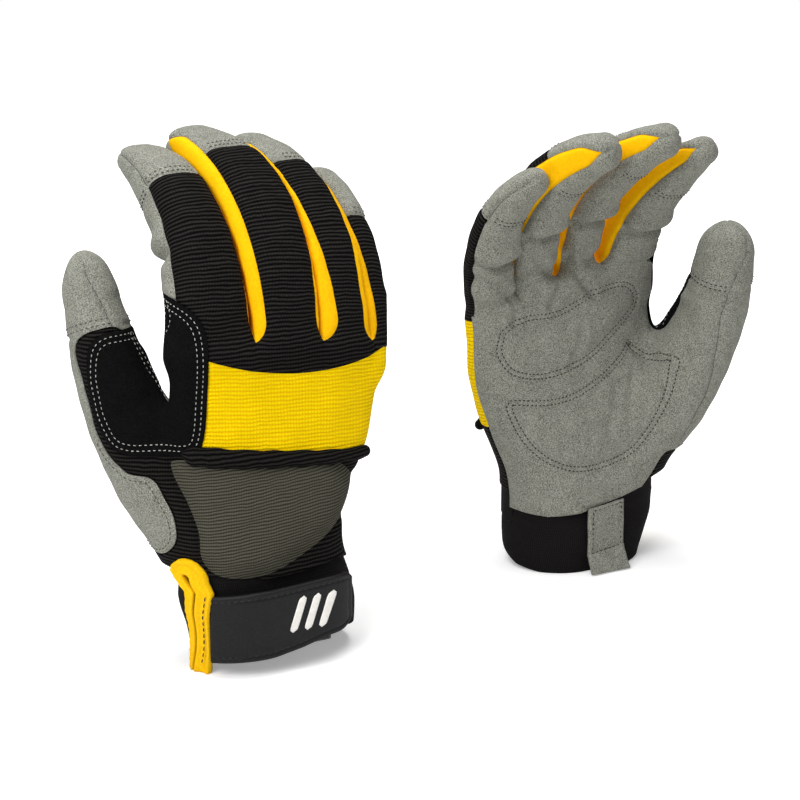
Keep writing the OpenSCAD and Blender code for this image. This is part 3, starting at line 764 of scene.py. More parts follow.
def shrunk(loop, by):
    """A closed flat line moved inwards by a distance, along its normals."""
    d = unit(np.roll(loop, -1, axis=0) - np.roll(loop, 1, axis=0))
    normal = np.stack([-d[:, 1], d[:, 0]], 1)
    area = (loop[:, 0] * np.roll(loop[:, 1], -1) - loop[:, 1] * np.roll(loop[:, 0], -1)).sum()
    return loop + by * np.sign(area) * normal


def level(way, out):
    """Directions turned into the plane of the skin."""
    return unit(way - (way * out).sum(1)[:, None] * out)


def hand_row(glove, path, pitch):
    """Stitch places along a line on the hand's suede, with the way and the skin's normal at each."""
    at, way = spaced(path, pitch)
    at = glove.settle(at)
    out = unit(glove.slope(at))
    at = at + (hand_height(hand_values(glove, at, out)) + SUEDE_LIFT)[:, None] * out
    return at, level(way, out), out


def runs(path, gap=6):
    """A line split where neighbouring points are further apart than gap."""
    cut = np.where(np.linalg.norm(np.diff(path, axis=0), axis=1) > gap)[0] + 1
    return [r for r in np.split(path, cut) if len(r) > 3]


def colour(code):
    """Linear colour of an sRGB hex value."""
    s = np.array([int(code[i:i + 2], 16) for i in (1, 3, 5)]) / 255
    return (*np.where(s > 0.04045, ((s + 0.055) / 1.055)**2.4, s / 12.92), 1.0)


def add(tree, kind, inputs, **settings):
    """One shader node: settings are its properties, inputs its sockets' values or what feeds them."""
    node = tree.nodes.new("ShaderNode" + kind)
    for key, value in settings.items():
        setattr(node, key, value)
    for key, value in inputs.items():
        if isinstance(value, bpy.types.NodeSocket):
            tree.links.new(value, node.inputs[key])
        else:
            node.inputs[key].default_value = value
    return node


def material(name, **sockets):
    """An empty material with its main shader, whose constant sockets are set here."""
    made = bpy.data.materials.new(name)
    made.use_nodes = True
    shader = made.node_tree.nodes["Principled BSDF"]
    for key, value in sockets.items():
        shader.inputs[key.replace("_", " ")].default_value = value
    return made, made.node_tree, shader


def tinted(tree, shader, height, dark, light, depth, strength=1.0):
    """Colour from dark in the hollows of a height pattern to light on its tops, and bump, in metres."""
    # Where the pattern is a knit's relief, the dark colour in its hollows is painted shade and the light
    # colour on its tops is painted light; where it is a grain, the two colours are the grain's own tone.
    mixed = add(tree, "Mix", {0: height, 6: colour(dark), 7: colour(light)}, data_type="RGBA")
    bump = add(tree, "Bump", {"Height": height, "Distance": depth, "Strength": strength})
    tree.links.new(mixed.outputs[2], shader.inputs["Base Color"])
    tree.links.new(bump.outputs[0], shader.inputs["Normal"])


def suede(name, dark, light, sheen):
    """Synthetic suede: a brushed nap with no gloss, a salt-and-pepper grain and soft cloudy patches.

    The grain is about 0.3 mm; it is drawn at 0.45 mm so that it shows.
    """
    made, tree, shader = material(name, Roughness=0.95, Sheen_Weight=sheen, Sheen_Roughness=0.6,
                                  Specular_IOR_Level=0.04)
    place = add(tree, "TexCoord", {}).outputs["Object"]
    grain = add(tree, "TexNoise", {"Vector": place, "Scale": 1 / 0.00045, "Detail": 2.0, "Roughness": 0.7})
    cloud = add(tree, "TexNoise", {"Vector": place, "Scale": 1 / 0.006, "Detail": 3.0, "Roughness": 0.6})
    sharp = add(tree, "MapRange", {0: grain.outputs[0], 1: 0.38, 2: 0.62})
    soft = add(tree, "MapRange", {0: cloud.outputs[0], 1: 0.3, 2: 0.7})
    cloudy = add(tree, "Math", {0: soft.outputs[0], 1: 0.15}, operation="MULTIPLY")
    grainy = add(tree, "Math", {0: sharp.outputs[0], 1: 0.85, 2: cloudy.outputs[0]}, operation="MULTIPLY_ADD")
    tinted(tree, shader, grainy.outputs[0], dark, light, 0.0003, 0.5)
    return made


def knit(name, dark, light, row, column, beads, depth, rough=0.8, thin=0.6):
    """Ribbed stretch knit: raised rows of looped yarn across the piece, each row a string of stitches.

    Height = row wave^thin * (1 - beads + beads * column wave), from the cloth coordinates in millimetres.
    The colour follows the height: painted shade in the gaps between rows and stitches, painted light on their
    tops.
    """
    made, tree, shader = material(name, Roughness=rough, Specular_IOR_Level=0.05)
    cloth = add(tree, "TexCoord", {}).outputs["UV"]
    wander = add(tree, "TexNoise", {"Vector": cloth, "Scale": 0.12, "Detail": 2.0})
    split = add(tree, "SeparateXYZ", {"Vector": cloth})
    waves = []
    for axis, period, sway in ((1, row, 1.6), (0, column, 0.8)):
        placed = {0: wander.outputs[0], 1: sway, 2: split.outputs[axis]}
        phase = add(tree, "Math", placed, operation="MULTIPLY_ADD")
        turned = add(tree, "Math", {0: phase.outputs[0], 1: 2 * np.pi / period}, operation="MULTIPLY")
        wave = add(tree, "Math", {0: turned.outputs[0]}, operation="SINE")
        waves.append(add(tree, "MapRange", {0: wave.outputs[0], 1: -1.0, 2: 1.0}).outputs[0])
    rib = add(tree, "Math", {0: waves[0], 1: thin}, operation="POWER")
    bead = add(tree, "Math", {0: waves[1], 1: beads, 2: 1 - beads}, operation="MULTIPLY_ADD")
    height = add(tree, "Math", {0: rib.outputs[0], 1: bead.outputs[0]}, operation="MULTIPLY")
    # Painted shade between the rows and stitches, painted light on their tops.
    tinted(tree, shader, height.outputs[0], dark, light, depth)
    return made


def speckled(name, dark, light, size, depth, **sockets):
    """A surface whose colour and relief follow one fine grain of that size, in metres."""
    made, tree, shader = material(name, **sockets)
    place = add(tree, "TexCoord", {}).outputs["Object"]
    grain = add(tree, "TexNoise", {"Vector": place, "Scale": 1 / size, "Detail": 3.0, "Roughness": 0.6})
    height = add(tree, "MapRange", {0: grain.outputs[0], 1: 0.3, 2: 0.7})
    tinted(tree, shader, height.outputs[0], dark, light, depth, 0.5)
    return made


# Brushed microfibre suede, mid grey: matt, mottled, a pale bloom where it turns away.
GREY_SUEDE = suede("grey synthetic suede", "#515148", "#A7A89D", 0.06)
# The same suede dyed black on the thumb web: flat and dark next to the knit.
BLACK_SUEDE = suede("black synthetic suede", "#050505", "#141415", 0.0)
# Nylon rib knit, black: rows 1.6 mm apart, with painted light on their tops and painted shade between them.
BLACK_KNIT = knit("black ribbed knit", "#000000", "#2E2C2A", 1.6, 1.0, 0.35, 0.0007, thin=1.2)
# The same knit in yellow: strings of round stitches, with painted orange shade between the rows and painted
# light on their tops.
YELLOW_KNIT = knit("yellow ribbed knit", "#EEB600", "#FFE402", 1.58, 1.15, 0.45, 0.0005)
# A finer knit over the wrist foam: close charcoal ribs, with painted shade between them and painted light on
# their tops.
CHARCOAL_KNIT = knit("charcoal ribbed knit", "#25251F", "#5C5A4E", 1.2, 0.9, 0.3, 0.0004)
# Plain elastic knit of the cuff: almost smooth, with fine lengthwise ribs, faint painted shade between them
# and faint painted light on their tops.
CUFF_KNIT = knit("elastic cuff knit", "#0E0D0D", "#201E1E", 0.9, 1.3, 0.4, 0.0002)
# Stretch jersey between the fingers: smooth, evenly dyed, with a soft bloom.
YELLOW_JERSEY = speckled("yellow stretch jersey", "#F0B000", "#F9BF02", 0.0012, 0.00008, Roughness=0.85,
                         Specular_IOR_Level=0.1)
# Bias binding tape: close woven, a shade deeper, slightly smoother.
YELLOW_TAPE = speckled("yellow binding tape", "#EDB400", "#FAC804", 0.0009, 0.00012, Roughness=0.75,
                       Specular_IOR_Level=0.15)
# Moulded soft PVC: near black with a dull even sheen and a fine moulded grain.
STRAP_RUBBER = speckled("moulded soft PVC, black", "#0E0E10", "#19191B", 0.0008, 0.00005, Roughness=0.5,
                        Specular_IOR_Level=0.22)
# The same plastic in white for the raised bars.
WHITE_RUBBER = speckled("moulded soft PVC, white", "#E6E2DC", "#F4F1EC", 0.0012, 0.00004, Roughness=0.5)
# Loop tape: a felted pile, dull and fuzzy.
LOOP_TAPE = speckled("loop pile tape", "#0B0B0C", "#2C2C2E", 0.0011, 0.0006, Roughness=1.0, Sheen_Weight=0.3)
# Hook tape: stiff nylon with rows of little hooks, a painted glint on each hook's top and painted shade
# between the rows, besides a little real gloss.
HOOK_TAPE = knit("nylon hook tape", "#0A0A0B", "#3A3A3D", 1.5, 1.5, 0.9, 0.0009, rough=0.35)
# Polyurethane foam: open cells, cream to grey.
FOAM = speckled("polyurethane foam", "#8E8A7C", "#CFCBBB", 0.0015, 0.0008, Roughness=1.0)
# Spun polyester sewing thread: a little gloss on each stitch.
WHITE_THREAD = speckled("white sewing thread", "#97978F", "#C6C6BD", 0.0006, 0.0001, Roughness=0.6)
DARK_THREAD = speckled("dark sewing thread", "#0C0C0C", "#22221F", 0.0006, 0.0001, Roughness=0.6)
GREY_THREAD = speckled("grey sewing thread", "#34362F", "#54564E", 0.0006, 0.0001, Roughness=0.6)
SEAM_THREAD = speckled("grey seam edge", "#3A3C38", "#5C5E58", 0.0006, 0.0001, Roughness=0.9)
# How far the suede and the web patch stand over the knit, which is sunk where they cover it.
SUEDE_LIFT = 0.4
PATCH_LIFT = 0.9


def under(s):
    """Where the back's cloth shows: outside the suede and the web patch, with a little to tuck under them."""
    return np.minimum(2.5 - s["saddle"], 1.5 - s["grey"])


# Per piece of the hand and of the thumb: where it lies on the skin, its cloth and how high it stands.
HAND_CUTS = {
    "palm_panel": (lambda s: np.minimum(s["grey"], 2.5 - s["saddle"]), GREY_SUEDE, SUEDE_LIFT),
    "saddle_patch": (lambda s: s["saddle"], BLACK_SUEDE, PATCH_LIFT),
    "knuckle_panel": (lambda s: np.min([under(s), s["band_top"], s["left"]], axis=0), BLACK_KNIT, 0.3),
    "knuckle_band": (
        lambda s: np.min([under(s), -s["band_top"], s["band_low"] + 1, s["left"]], axis=0), YELLOW_KNIT, 0.1),
    "back_pad": (lambda s: np.minimum(under(s), s["pad"]), CHARCOAL_KNIT, 0),
    "wrist_panel": (
        lambda s: np.min([under(s), np.maximum(-s["band_low"], -s["left"]), -s["pad"], s["hem"]], axis=0),
        BLACK_KNIT, 0),
}
THUMB_CUTS = {
    "thumb_front": HAND_CUTS["palm_panel"],
    "thumb_patch": HAND_CUTS["saddle_patch"],
    "thumb_back": (under, BLACK_KNIT, 0),
}
# How much the knit's rows climb across each of these pieces.
SLANTS = {"knuckle_band": 0.06, "back_pad": -0.1}


def sew_hand(glove):
    """The hand's and thumb's panels and patches, and the foam behind the padded ones, of one glove."""
    points, tris = skin_mesh(glove.skin, (-84, -34, 14), (64, 88, 176))
    points, tris = halved(glove.settle(points), tris)
    points = glove.settle(points, rounds=1)
    whole = Skin(tris, **hand_values(glove, points, unit(glove.slope(points))))
    whole = whole.keep(whole["keep"])
    for body, sign, cuts in (("hand", -1, HAND_CUTS), ("thumb", 1, THUMB_CUTS)):
        part = whole.keep(sign * whole["thumb"])
        for name, (cut, cloth, lift) in cuts.items():
            skin = part.keep(cut(part))
            h = hand_height(skin) + lift
            seam = np.abs(skin["saddle"]) if cloth == BLACK_SUEDE else np.abs(skin["grey"])
            if lift < SUEDE_LIFT:
                h = h - 1.3 * ease((skin["grey"] + 1) / 1.2) - 1.2 * ease((skin["saddle"] + 0.4) / 1.5)
                lines = [np.abs(skin[n]) for n in ("pad", "hem", "band_top", "band_low")]
                seam = np.min([seam] + lines, axis=0)
            else:
                h = h - 0.35 * notch(seam, 0.8)
            v = skin["at"][:, 2] + SLANTS.get(name, 0.0) * skin["across"]
            piece = panel(glove, name, skin, h, cloth, np.stack([skin["across"], v], 1), seam)
            ride_like(glove, piece, body)
            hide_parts(glove.node(name))
        if body == "hand":
            skin = part.keep(np.max([part["pad"] - 2, part["upper"] - 1, part["heel"] - 1], axis=0))
            far = np.full(len(skin["at"]), 9.0)
            h = hand_height(skin) - 1.3
            piece = panel(glove, "foam_pads", skin, h, FOAM, skin["at"][:, :2], far, 2.2)
            ride_like(glove, piece, "hand")
            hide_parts(glove.node("foam_pads"))


FINGER_CUTS = {
    "back": (lambda s: np.min([s["back"], -s["cap"], 2.5 - s["saddle"]], axis=0), BLACK_KNIT, 0.3),
    "front": (
        lambda s: np.minimum(np.maximum(s["front"], np.minimum(s["back"], s["cap"])), 2.5 - s["saddle"]),
        GREY_SUEDE, SUEDE_LIFT),
    "sides": (lambda s: np.maximum(s["side_r"], s["side_u"]), YELLOW_JERSEY, 0),
    "patch": (lambda s: s["saddle"], BLACK_SUEDE, PATCH_LIFT),
}


def sew_finger(glove, name):
    """One finger's back, front and side strips, with the web patch's tip on the index finger."""
    limb = glove.limbs[name]
    low = np.maximum(limb.low + 8, (-99, -99, 100))
    points, tris = skin_mesh(lambda q: glove.skin(q, name), low, limb.high - 8)
    points, tris = halved(glove.settle(points, name), tris)
    points = glove.settle(points, name, 1)
    whole = Skin(tris, **finger_values(glove, name, points, unit(glove.slope(points, name))))
    whole = whole.keep(np.minimum(whole["slots"], whole["own"]))
    for label, (cut, cloth, lift) in FINGER_CUTS.items():
        if label == "patch" and name != "index":
            continue
        skin = whole.keep(cut(whole))
        h = finger_height(skin) - 1.2 * ease((skin["saddle"] + 0.4) / 1.5)
        if label == "patch":
            h = soft_folds(skin["at"])
        seam = np.min([np.abs(skin[n]) for n in ("front", "back", "cap", "saddle")], axis=0)
        seam = np.where(skin["slots"] < 0.3, 9, seam)
        t = ease(skin["slots"] / 30)
        turned = KNUCKLES[name][0] * ACROSS[0] - np.radians(skin["angle"] - 90) * limb.half.mean()
        u = mix(skin["across"], turned, t)
        v = mix(skin["at"][:, 2], KNUCKLES[name][2] + skin["length"] + 5, t)
        piece = panel(glove, f"{name}_{label}", skin, h + lift, cloth, np.stack([u, v], 1), seam, 1.0)
        ride_like(glove, piece, name)
        if label != "patch":
            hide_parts(glove.node(f"{name}_{label}"))


# The slit's direction at the hem, its line up the cuff (height and direction in degrees), and how far the hem
# is drawn up round it (direction and height).
SLIT_AT = 192
SLIT = ((0, 10, 24.6, 34, 38, 43, 50), (192, 195, 196, 198, 194, 191, 189))
HEM = ((90, 188, 200, 215, 247, 273, 298, 310, 320, 335, 349, 365, 385, 480),
       (0, 0, 3, 6.8, 8, 11, 16.5, 18.5, 16.5, 10, 5.5, 1.5, 0, 0))
CUFF_FLAT = CUFF_HALF[0] - CUFF_HALF[1]
CUFF_ROUND = CUFF_HALF[1]


def cuff_table():
    """The cuff's outline, two half circles joined by straights: X, Y, normal, run and direction."""
    a = np.radians(np.linspace(90, 270, 181))
    b = a - np.pi
    x = np.concatenate([CUFF_ROUND * np.cos(a) - CUFF_FLAT, CUFF_ROUND * np.cos(b) + CUFF_FLAT, [-CUFF_FLAT]])
    y = np.concatenate([CUFF_ROUND * np.sin(a), CUFF_ROUND * np.sin(b), [CUFF_ROUND]])
    turn = np.concatenate([a, b + 2 * np.pi, [a[0] + 2 * np.pi]])
    run = np.concatenate([[0], np.cumsum(np.hypot(np.diff(x), np.diff(y)))])
    way = np.unwrap(np.arctan2(y, x)) % (4 * np.pi)
    return x, y, turn, run, np.degrees(way)


CUFF_X, CUFF_Y, CUFF_TURN, CUFF_RUN, CUFF_WAY = cuff_table()
SLIT_RUN = np.interp(SLIT_AT, CUFF_WAY, CUFF_RUN)
ROUND = CUFF_RUN[-1]


def run_at(way):
    """Distance round the cuff from the slit to a direction seen from the cuff's middle, in degrees."""
    return np.interp(way, CUFF_WAY, CUFF_RUN) - SLIT_RUN


def round_cuff(run, z, offset):
    """Points at a distance round the cuff from its slit, a height and an offset outwards.

    Behind the slit the thumb side slants in towards the hem.
    """
    run, z, offset = np.broadcast_arrays(np.asarray(run, float), z, offset)
    r = (run + SLIT_RUN) % ROUND
    x, y, turn = (np.interp(r, CUFF_RUN, c) for c in (CUFF_X, CUFF_Y, CUFF_TURN))
    way = np.interp(r, CUFF_RUN, CUFF_WAY)
    way = way - 360 * (way > 400)
    x = x + 7 * np.clip(1 - z / 26, 0, 1) * ease((194 - way) / 28) * ease((way - 95) / 45)
    return np.stack([x + offset * np.cos(turn) + CUFF_SHIFT, y + offset * np.sin(turn), z], -1)


def cuff_out(run):
    """Outward normal at a distance round the cuff."""
    turn = np.interp((np.asarray(run, float) + SLIT_RUN) % ROUND, CUFF_RUN, CUFF_TURN)
    return np.stack([np.cos(turn), np.sin(turn), 0 * turn], -1)


def slit_run(z):
    """Where the slit's line is, as a distance round the cuff, at a height."""
    return run_at(np.interp(z, *SLIT))


def on_cuff(glove, run, z, offset):
    """Points round the cuff which, above 14 mm, sink on to the hand's skin."""
    p = round_cuff(run, z, offset)
    flat = p.reshape(-1, 3)
    skin = glove.settle(flat)
    shift = np.broadcast_to(offset, p.shape[:-1]).reshape(-1, 1)
    seated = skin + shift * unit(glove.slope(skin))
    return mix(flat, seated, ease((flat[:, 2:] - 14) / 14)).reshape(p.shape)


def sew_cuff(glove):
    """Elastic cuff: a wall with a rolled hem that runs up under the panels, open along the slit.

    The profile goes up the outside and down the inside; the hem is drawn up under the strap.
    """
    t = np.linspace(0, 1, 190)
    up = np.concatenate([[0.9, 0.3, 0, 0, 0.3, 0.9], np.linspace(2, 45, 26)])
    out = np.concatenate([[-2.1, -1.7, -1.3, -0.9, -0.4, -0.05], np.zeros(26)])
    rings = []
    for z, o in zip(up, out):
        gap = 0.9 + 1.7 * notch(z - 38, 2.0) if z < 41 else 0.05
        run = slit_run(z) + mix(gap, ROUND - gap, t)
        x = round_cuff(run, 0, 0)[:, 0]
        top = np.where(cuff_out(run)[:, 1] > 0, np.interp(x, *PALM_EDGE), np.interp(x, *WRIST_EDGE)) + 4
        height = np.minimum(z, mix(z, top * z / 45, ease((z - 8) / 20)))
        way = np.interp((run + SLIT_RUN) % ROUND, CUFF_RUN, CUFF_WAY)
        height = height + np.interp(way, *HEM) * np.clip(1 - height / 22, 0, 1)
        belly = 0.5 * np.sin(np.pi * np.clip(height / 26, 0, 1)) + 0.25 * np.sin(run * 0.13 + height * 0.2)
        offset = o + belly * ease(height / 4) - 1.6 * ease((height - 14) / 14)
        rings.append(on_cuff(glove, run, height, offset))
    outer = np.stack(rings)
    inner = outer - 2.2 * unit((outer - [CUFF_SHIFT, 0, 0]) * [1, 1, 0])
    points = np.concatenate([outer, inner[::-1][:-5]]).transpose(1, 0, 2)
    count, k, _ = points.shape
    ends = np.arange(k // 2 - 1)
    tris = [grid_tris(count, k, round_columns=True)]
    for first, flip in ((0, 1), (count - 1, -1)):
        a, b = first * k + ends, first * k + ends + 1
        c, d = first * k + (k - 1 - ends), first * k + (k - 2 - ends)
        tris += [np.stack([a, c, d], 1)[:, ::flip], np.stack([a, d, b], 1)[:, ::flip]]
    u = np.broadcast_to((t * ROUND)[:, None], points.shape[:2])
    uv = np.stack([points[..., 2], u], -1).reshape(-1, 2)
    stand_in(glove, "cuff_band", "hand", points.reshape(-1, 3), np.concatenate(tris), CUFF_KNIT, uv)


def leg_widths(s):
    """How far the binding reaches from the slit: least on the left leg, most at the right leg's end."""
    return np.interp(s, (0, 0.3, 0.4, 0.6, 0.7, 1), (4.4, 4.6, 7.0, 7.2, 6.4, 7.4))


def binding_frame(s):
    """The binding's line, up the left of the slit, round its top and down the right: height and direction."""
    turn = np.radians(180 - 180 * np.clip((s - 0.38) / 0.24, 0, 1))
    z = np.interp(s, (0, 0.38, 0.62, 1), (0.2, 40, 40, 0.2))
    return z, np.cos(turn), np.sin(turn)


def on_binding(glove, s, d, offset):
    """Points of the binding at place s along it, d away from the slit and an offset off the cuff."""
    z, ex, ez = binding_frame(s)
    z = z + d * ez
    return on_cuff(glove, slit_run(z) + d * ex, z, offset)


def sew_binding(glove):
    """Binding tape folded round the slit: a rolled lip, a face that dips at its stitches, a turned edge.

    It opens to a keyhole at the slit's top. Returns the row of stitches down its right leg.
    """
    s = np.concatenate([np.linspace(0, 0.37, 50), np.linspace(0.38, 0.62, 70), np.linspace(0.63, 1, 50)])
    wide = leg_widths(s)[:, None]
    start = (0.5 + 0.9 * ease((s - 0.33) / 0.06) * ease((0.67 - s) / 0.06))[:, None]
    d = start + (wide - start) * np.linspace(0, 1, 25)
    right = (ease((s - 0.6) / 0.12) * ease((1.04 - s) / 0.2))[:, None]
    lip = 1.1 * notch(d - start - 0.7, 1.3)
    turned = 0.6 * notch(wide - d - 0.9, 0.9) - 1.4 * notch(wide - d, 0.35)
    seat = 1.9 + right * 2.0 * ease((d - 2) / 4)
    puckers = 0.12 * np.sin(s * 190)[:, None] * ease((d - 1.5) / 2)
    top = seat + lip + turned + puckers - 0.35 * notch(d - wide + 2.4, 0.5)
    face = on_binding(glove, s[:, None], d, top)
    back = on_binding(glove, s[:, None], d, np.minimum(0.2 + right * 1.8, top - 0.8))
    stand_in(glove, "slit_binding", "hand", *plate(face, back), YELLOW_TAPE)
    rows = np.linspace(0.68, 0.96, 60)
    at, way = spaced(on_binding(glove, rows, 4.3, 3.7), 2.6)
    return at, way, cuff_out(slit_run(at[:, 2]) + 4.3)


# The strap's upper and lower edge, height against direction; its two ends as distances from the slit.
STRAP_TOP = ((205, 211, 233, 265, 298, 318), (32.8, 33.2, 34.6, 35.2, 36, 36))
STRAP_LOW = ((205, 210, 226, 247, 273, 298, 318), (5.6, 5.9, 6.5, 7.1, 9.0, 11.8, 13))
STRAP_ENDS = (run_at(207), run_at(317))
STRAP_FACE = 4.9
STRAP_BACK = 2.9
STRAP_CORNERS = (7.0, 4.0)
GROOVE = 2.4


def strap_edges(run):
    """Lower and upper edge of the strap round the cuff, with its free corners rounded."""
    way = np.interp(run + SLIT_RUN, CUFF_RUN, CUFF_WAY)
    low, top = (
        r - np.sqrt(np.maximum(r * r - np.clip(run - STRAP_ENDS[1] + r, 0, r)**2, 0)) for r in STRAP_CORNERS)
    return np.interp(way, *STRAP_LOW) + low, np.interp(way, *STRAP_TOP) - top


def sew_strap(glove):
    """Moulded strap: an even plate with rounded edges and a sewn groove inside its border."""
    start, end = STRAP_ENDS
    bend = STRAP_CORNERS[0]
    rounded = end - bend * np.cos(np.linspace(0, np.pi / 2, 16))[1:]
    run = np.concatenate([np.linspace(start, end - bend, 70), rounded])
    run = np.clip(run, None, end - 0.02)
    low, top = strap_edges(run)
    a = 0.5 - 0.5 * np.cos(np.linspace(0, np.pi, 61))
    a = mix(np.linspace(0, 1, 61), a, 0.6)
    z = low[:, None] + (top - low)[:, None] * a
    rim = np.minimum(np.minimum(z - low[:, None], top[:, None] - z), (end - run)[:, None])
    outer = STRAP_FACE - 0.9 * (1 - np.minimum(rim / 0.9, 1))**2 - 0.35 * notch(rim - GROOVE, 0.45)
    face = round_cuff(run[:, None], z, outer)
    back = round_cuff(run[:, None], z, np.minimum(STRAP_BACK, outer - 0.6))
    stand_in(glove, "strap", "wrist_strap", *plate(face, back), STRAP_RUBBER)


def sew_bars(glove):
    """Three plain slanted bars moulded on the strap: rounded slabs, half 1.7 mm wide and 7.2 mm tall."""
    t = np.linspace(-1, 1, 15)[:, None]
    turn = np.linspace(0, 2 * np.pi, 28, endpoint=False)
    round_end = np.sqrt(np.maximum(1 - np.clip((np.abs(t) - 0.72) / 0.28, 0, 1)**2, 0.002))
    across = 1.7 * round_end * np.cos(turn)
    flat = np.sign(np.sin(turn)) * np.abs(np.sin(turn))**0.6
    high = STRAP_FACE + 0.05 + 0.45 * flat * np.minimum(round_end * 2, 1)
    rise = 7.2 * t + 0 * turn
    starts = [STRAP_ENDS[1] - 12 - 6.4 * k for k in range(3)]
    parts = [tube(round_cuff(start + across + 0.35 * rise, 23.5 + rise, high)) for start in starts]
    points, tris = joined(parts)
    stand_in(glove, "strap_bars", "wrist_strap", points, tris[:, ::-1], WHITE_RUBBER)


def sew_tapes(glove):
    """Loop tape on the cuff and hook tape behind the strap's end: thin slabs, their facing edges soft."""
    for name, ways, heights, (low, high), softened, cloth, body in (
            ("loop_tape", (220, 302), (9, 29), (0.5, 1.6), (0, 1), LOOP_TAPE, "hand"),
            ("hook_tape", (264, 310), (13, 31), (1.9, 2.9), (1, 0), HOOK_TAPE, "wrist_strap")):
        run = np.linspace(run_at(ways[0]), run_at(ways[1]), 60)[:, None]
        z = np.linspace(*heights, 24)
        rim = np.minimum(np.minimum(run - run[0], run[-1] - run), np.minimum(z - z[0], z[-1] - z))
        soft = 0.4 * (1 - np.minimum(rim / 0.8, 1))**2
        face = round_cuff(run, z, high - softened[1] * soft)
        back = round_cuff(run, z, low + softened[0] * soft)
        uv = np.stack(np.broadcast_arrays(run, z), -1)
        uv = np.concatenate([uv, uv[:, ::-1]], axis=1).reshape(-1, 2)
        uv = np.concatenate([uv, np.zeros((2, 2))])
        stand_in(glove, name, body, *plate(face, back), cloth, uv)


def slab(plan, thick):
    """A wavy cloth slab: plan maps (across, along) in -1..1 and a height in millimetres to points."""
    a = np.linspace(-1, 1, 25)
    b = np.linspace(-1, 1, 37)[:, None]
    rim = np.minimum(1 - np.abs(a) * np.ones_like(b), (1 - np.abs(b)) * np.ones_like(a))
    soft = 0.5 * (1 - np.minimum(rim / 0.09, 1))**2
    swell = 0.18 * np.sin(3 * a + 2 * b) + 0.12 * np.cos(5 * b - a)
    face = plan(a, b, thick - soft + swell)
    back = plan(a, b, soft * 0.6 + swell)
    return plate(face, back)


# The pull tab's middle in X, its lower and upper edge, and its half width.
TAB_X, TAB_LOW, TAB_TOP, TAB_HALF = -5.2, 8.6, 31, 9.6


def sew_tab(glove):
    """Pull tab sewn flat on the cuff, and the loose end off its lower edge. Returns the tab's stitches."""

    def sewn(a, b, h):
        x = TAB_X - TAB_HALF * a + 0 * b
        z = mix(TAB_LOW, TAB_TOP, (1 + b) / 2) + 1.2 * a
        return np.stack(np.broadcast_arrays(x, 25.6 + h, z), -1)

    def loose(a, b, h):
        far = (1 - b) / 2
        x = TAB_X - (TAB_HALF + 0.9 * far) * a
        y = 26.6 + 3.8 * far**1.5 + h
        z = 9.9 - 9.4 * far + 1.2 * a * (1 - far) + 0.15 * h
        return np.stack(np.broadcast_arrays(x, y, z), -1)

    for name, plan, body in (("pull_tab", sewn, "hand"), ("pull_loop", loose, "loop")):
        stand_in(glove, name, body, *slab(plan, 1.8), GREY_SUEDE)
    side, across = np.full(30, 0.8), np.linspace(0.8, -0.8, 30)
    up, top, foot = np.linspace(-0.86, 0.9, 30), np.full(30, 0.9), np.full(30, -0.86)
    a = np.concatenate([side, across, -side, -across])
    b = np.concatenate([up, top, up[::-1], foot])
    at, way = spaced(sewn(a, b, 1.75), 2.3)
    return at, way, np.tile([0, 1.0, 0], (len(at), 1))


def sew_fold(glove):
    """The knit turned under the yellow band: a soft roll that sticks out on the little-finger side."""
    h = np.linspace(-37, 62, 90)
    line = np.stack([h, 83.4 - 0.125 * h - 1.3 * glove.sag(h / ACROSS[0])], 1)
    path = from_chart(glove, line)
    way = unit(path[-1] - path[-4])
    path = np.concatenate([path, path[-1] + np.outer(np.linspace(0.5, 4, 8), way)])
    out = unit(glove.slope(path))
    out[-9:] = out[-9]
    up = unit(np.cross(unit(np.gradient(path, axis=0)), out))
    up = up * np.sign(up[:, 2:])
    s = np.linspace(0, 1, len(path))
    end = np.sqrt(np.clip(1 - np.clip((s - 0.955) / 0.045, 0, 1)**2, 0.02, 1))
    end = end * np.sqrt(np.clip(s / 0.06, 0.05, 1))
    turn = np.linspace(0, 2 * np.pi, 24, endpoint=False)
    half = mix(4.2, 2.5, s) * (1 + 0.06 * np.sin(45 * s)) * end
    tall = half[:, None] * np.cos(turn)
    deep = (2.4 * end)[:, None] * np.sin(turn) + 0.4
    points, tris = tube(path[:, None] + up[:, None] * tall[..., None] + out[:, None] * deep[..., None])
    run = np.cumsum(np.linalg.norm(np.gradient(path, axis=0), axis=1))
    u = run[:, None] + 0.5 * tall
    v = turn * 3.2 + 0.12 * u
    uv = np.concatenate([np.stack([u, v], -1).reshape(-1, 2), np.zeros((2, 2))])
    ride_like(glove, put(glove, glove.node("knit_fold"), points, tris[:, ::-1], BLACK_KNIT, uv), "hand")


def stitch(glove, name, part, rows, cloth, length=1.75, radius=0.3):
    """One piece of thread from several rows of stitches: on the hand or the strap it moves with that body, on
    a thumb or a finger it is only placed.
    """
    at, way, up = (np.concatenate(r) for r in zip(*rows))
    points, tris = thread(at, way, up, length, radius)
    ride_like(glove, put(glove, glove.node(name), points, tris, cloth), part)


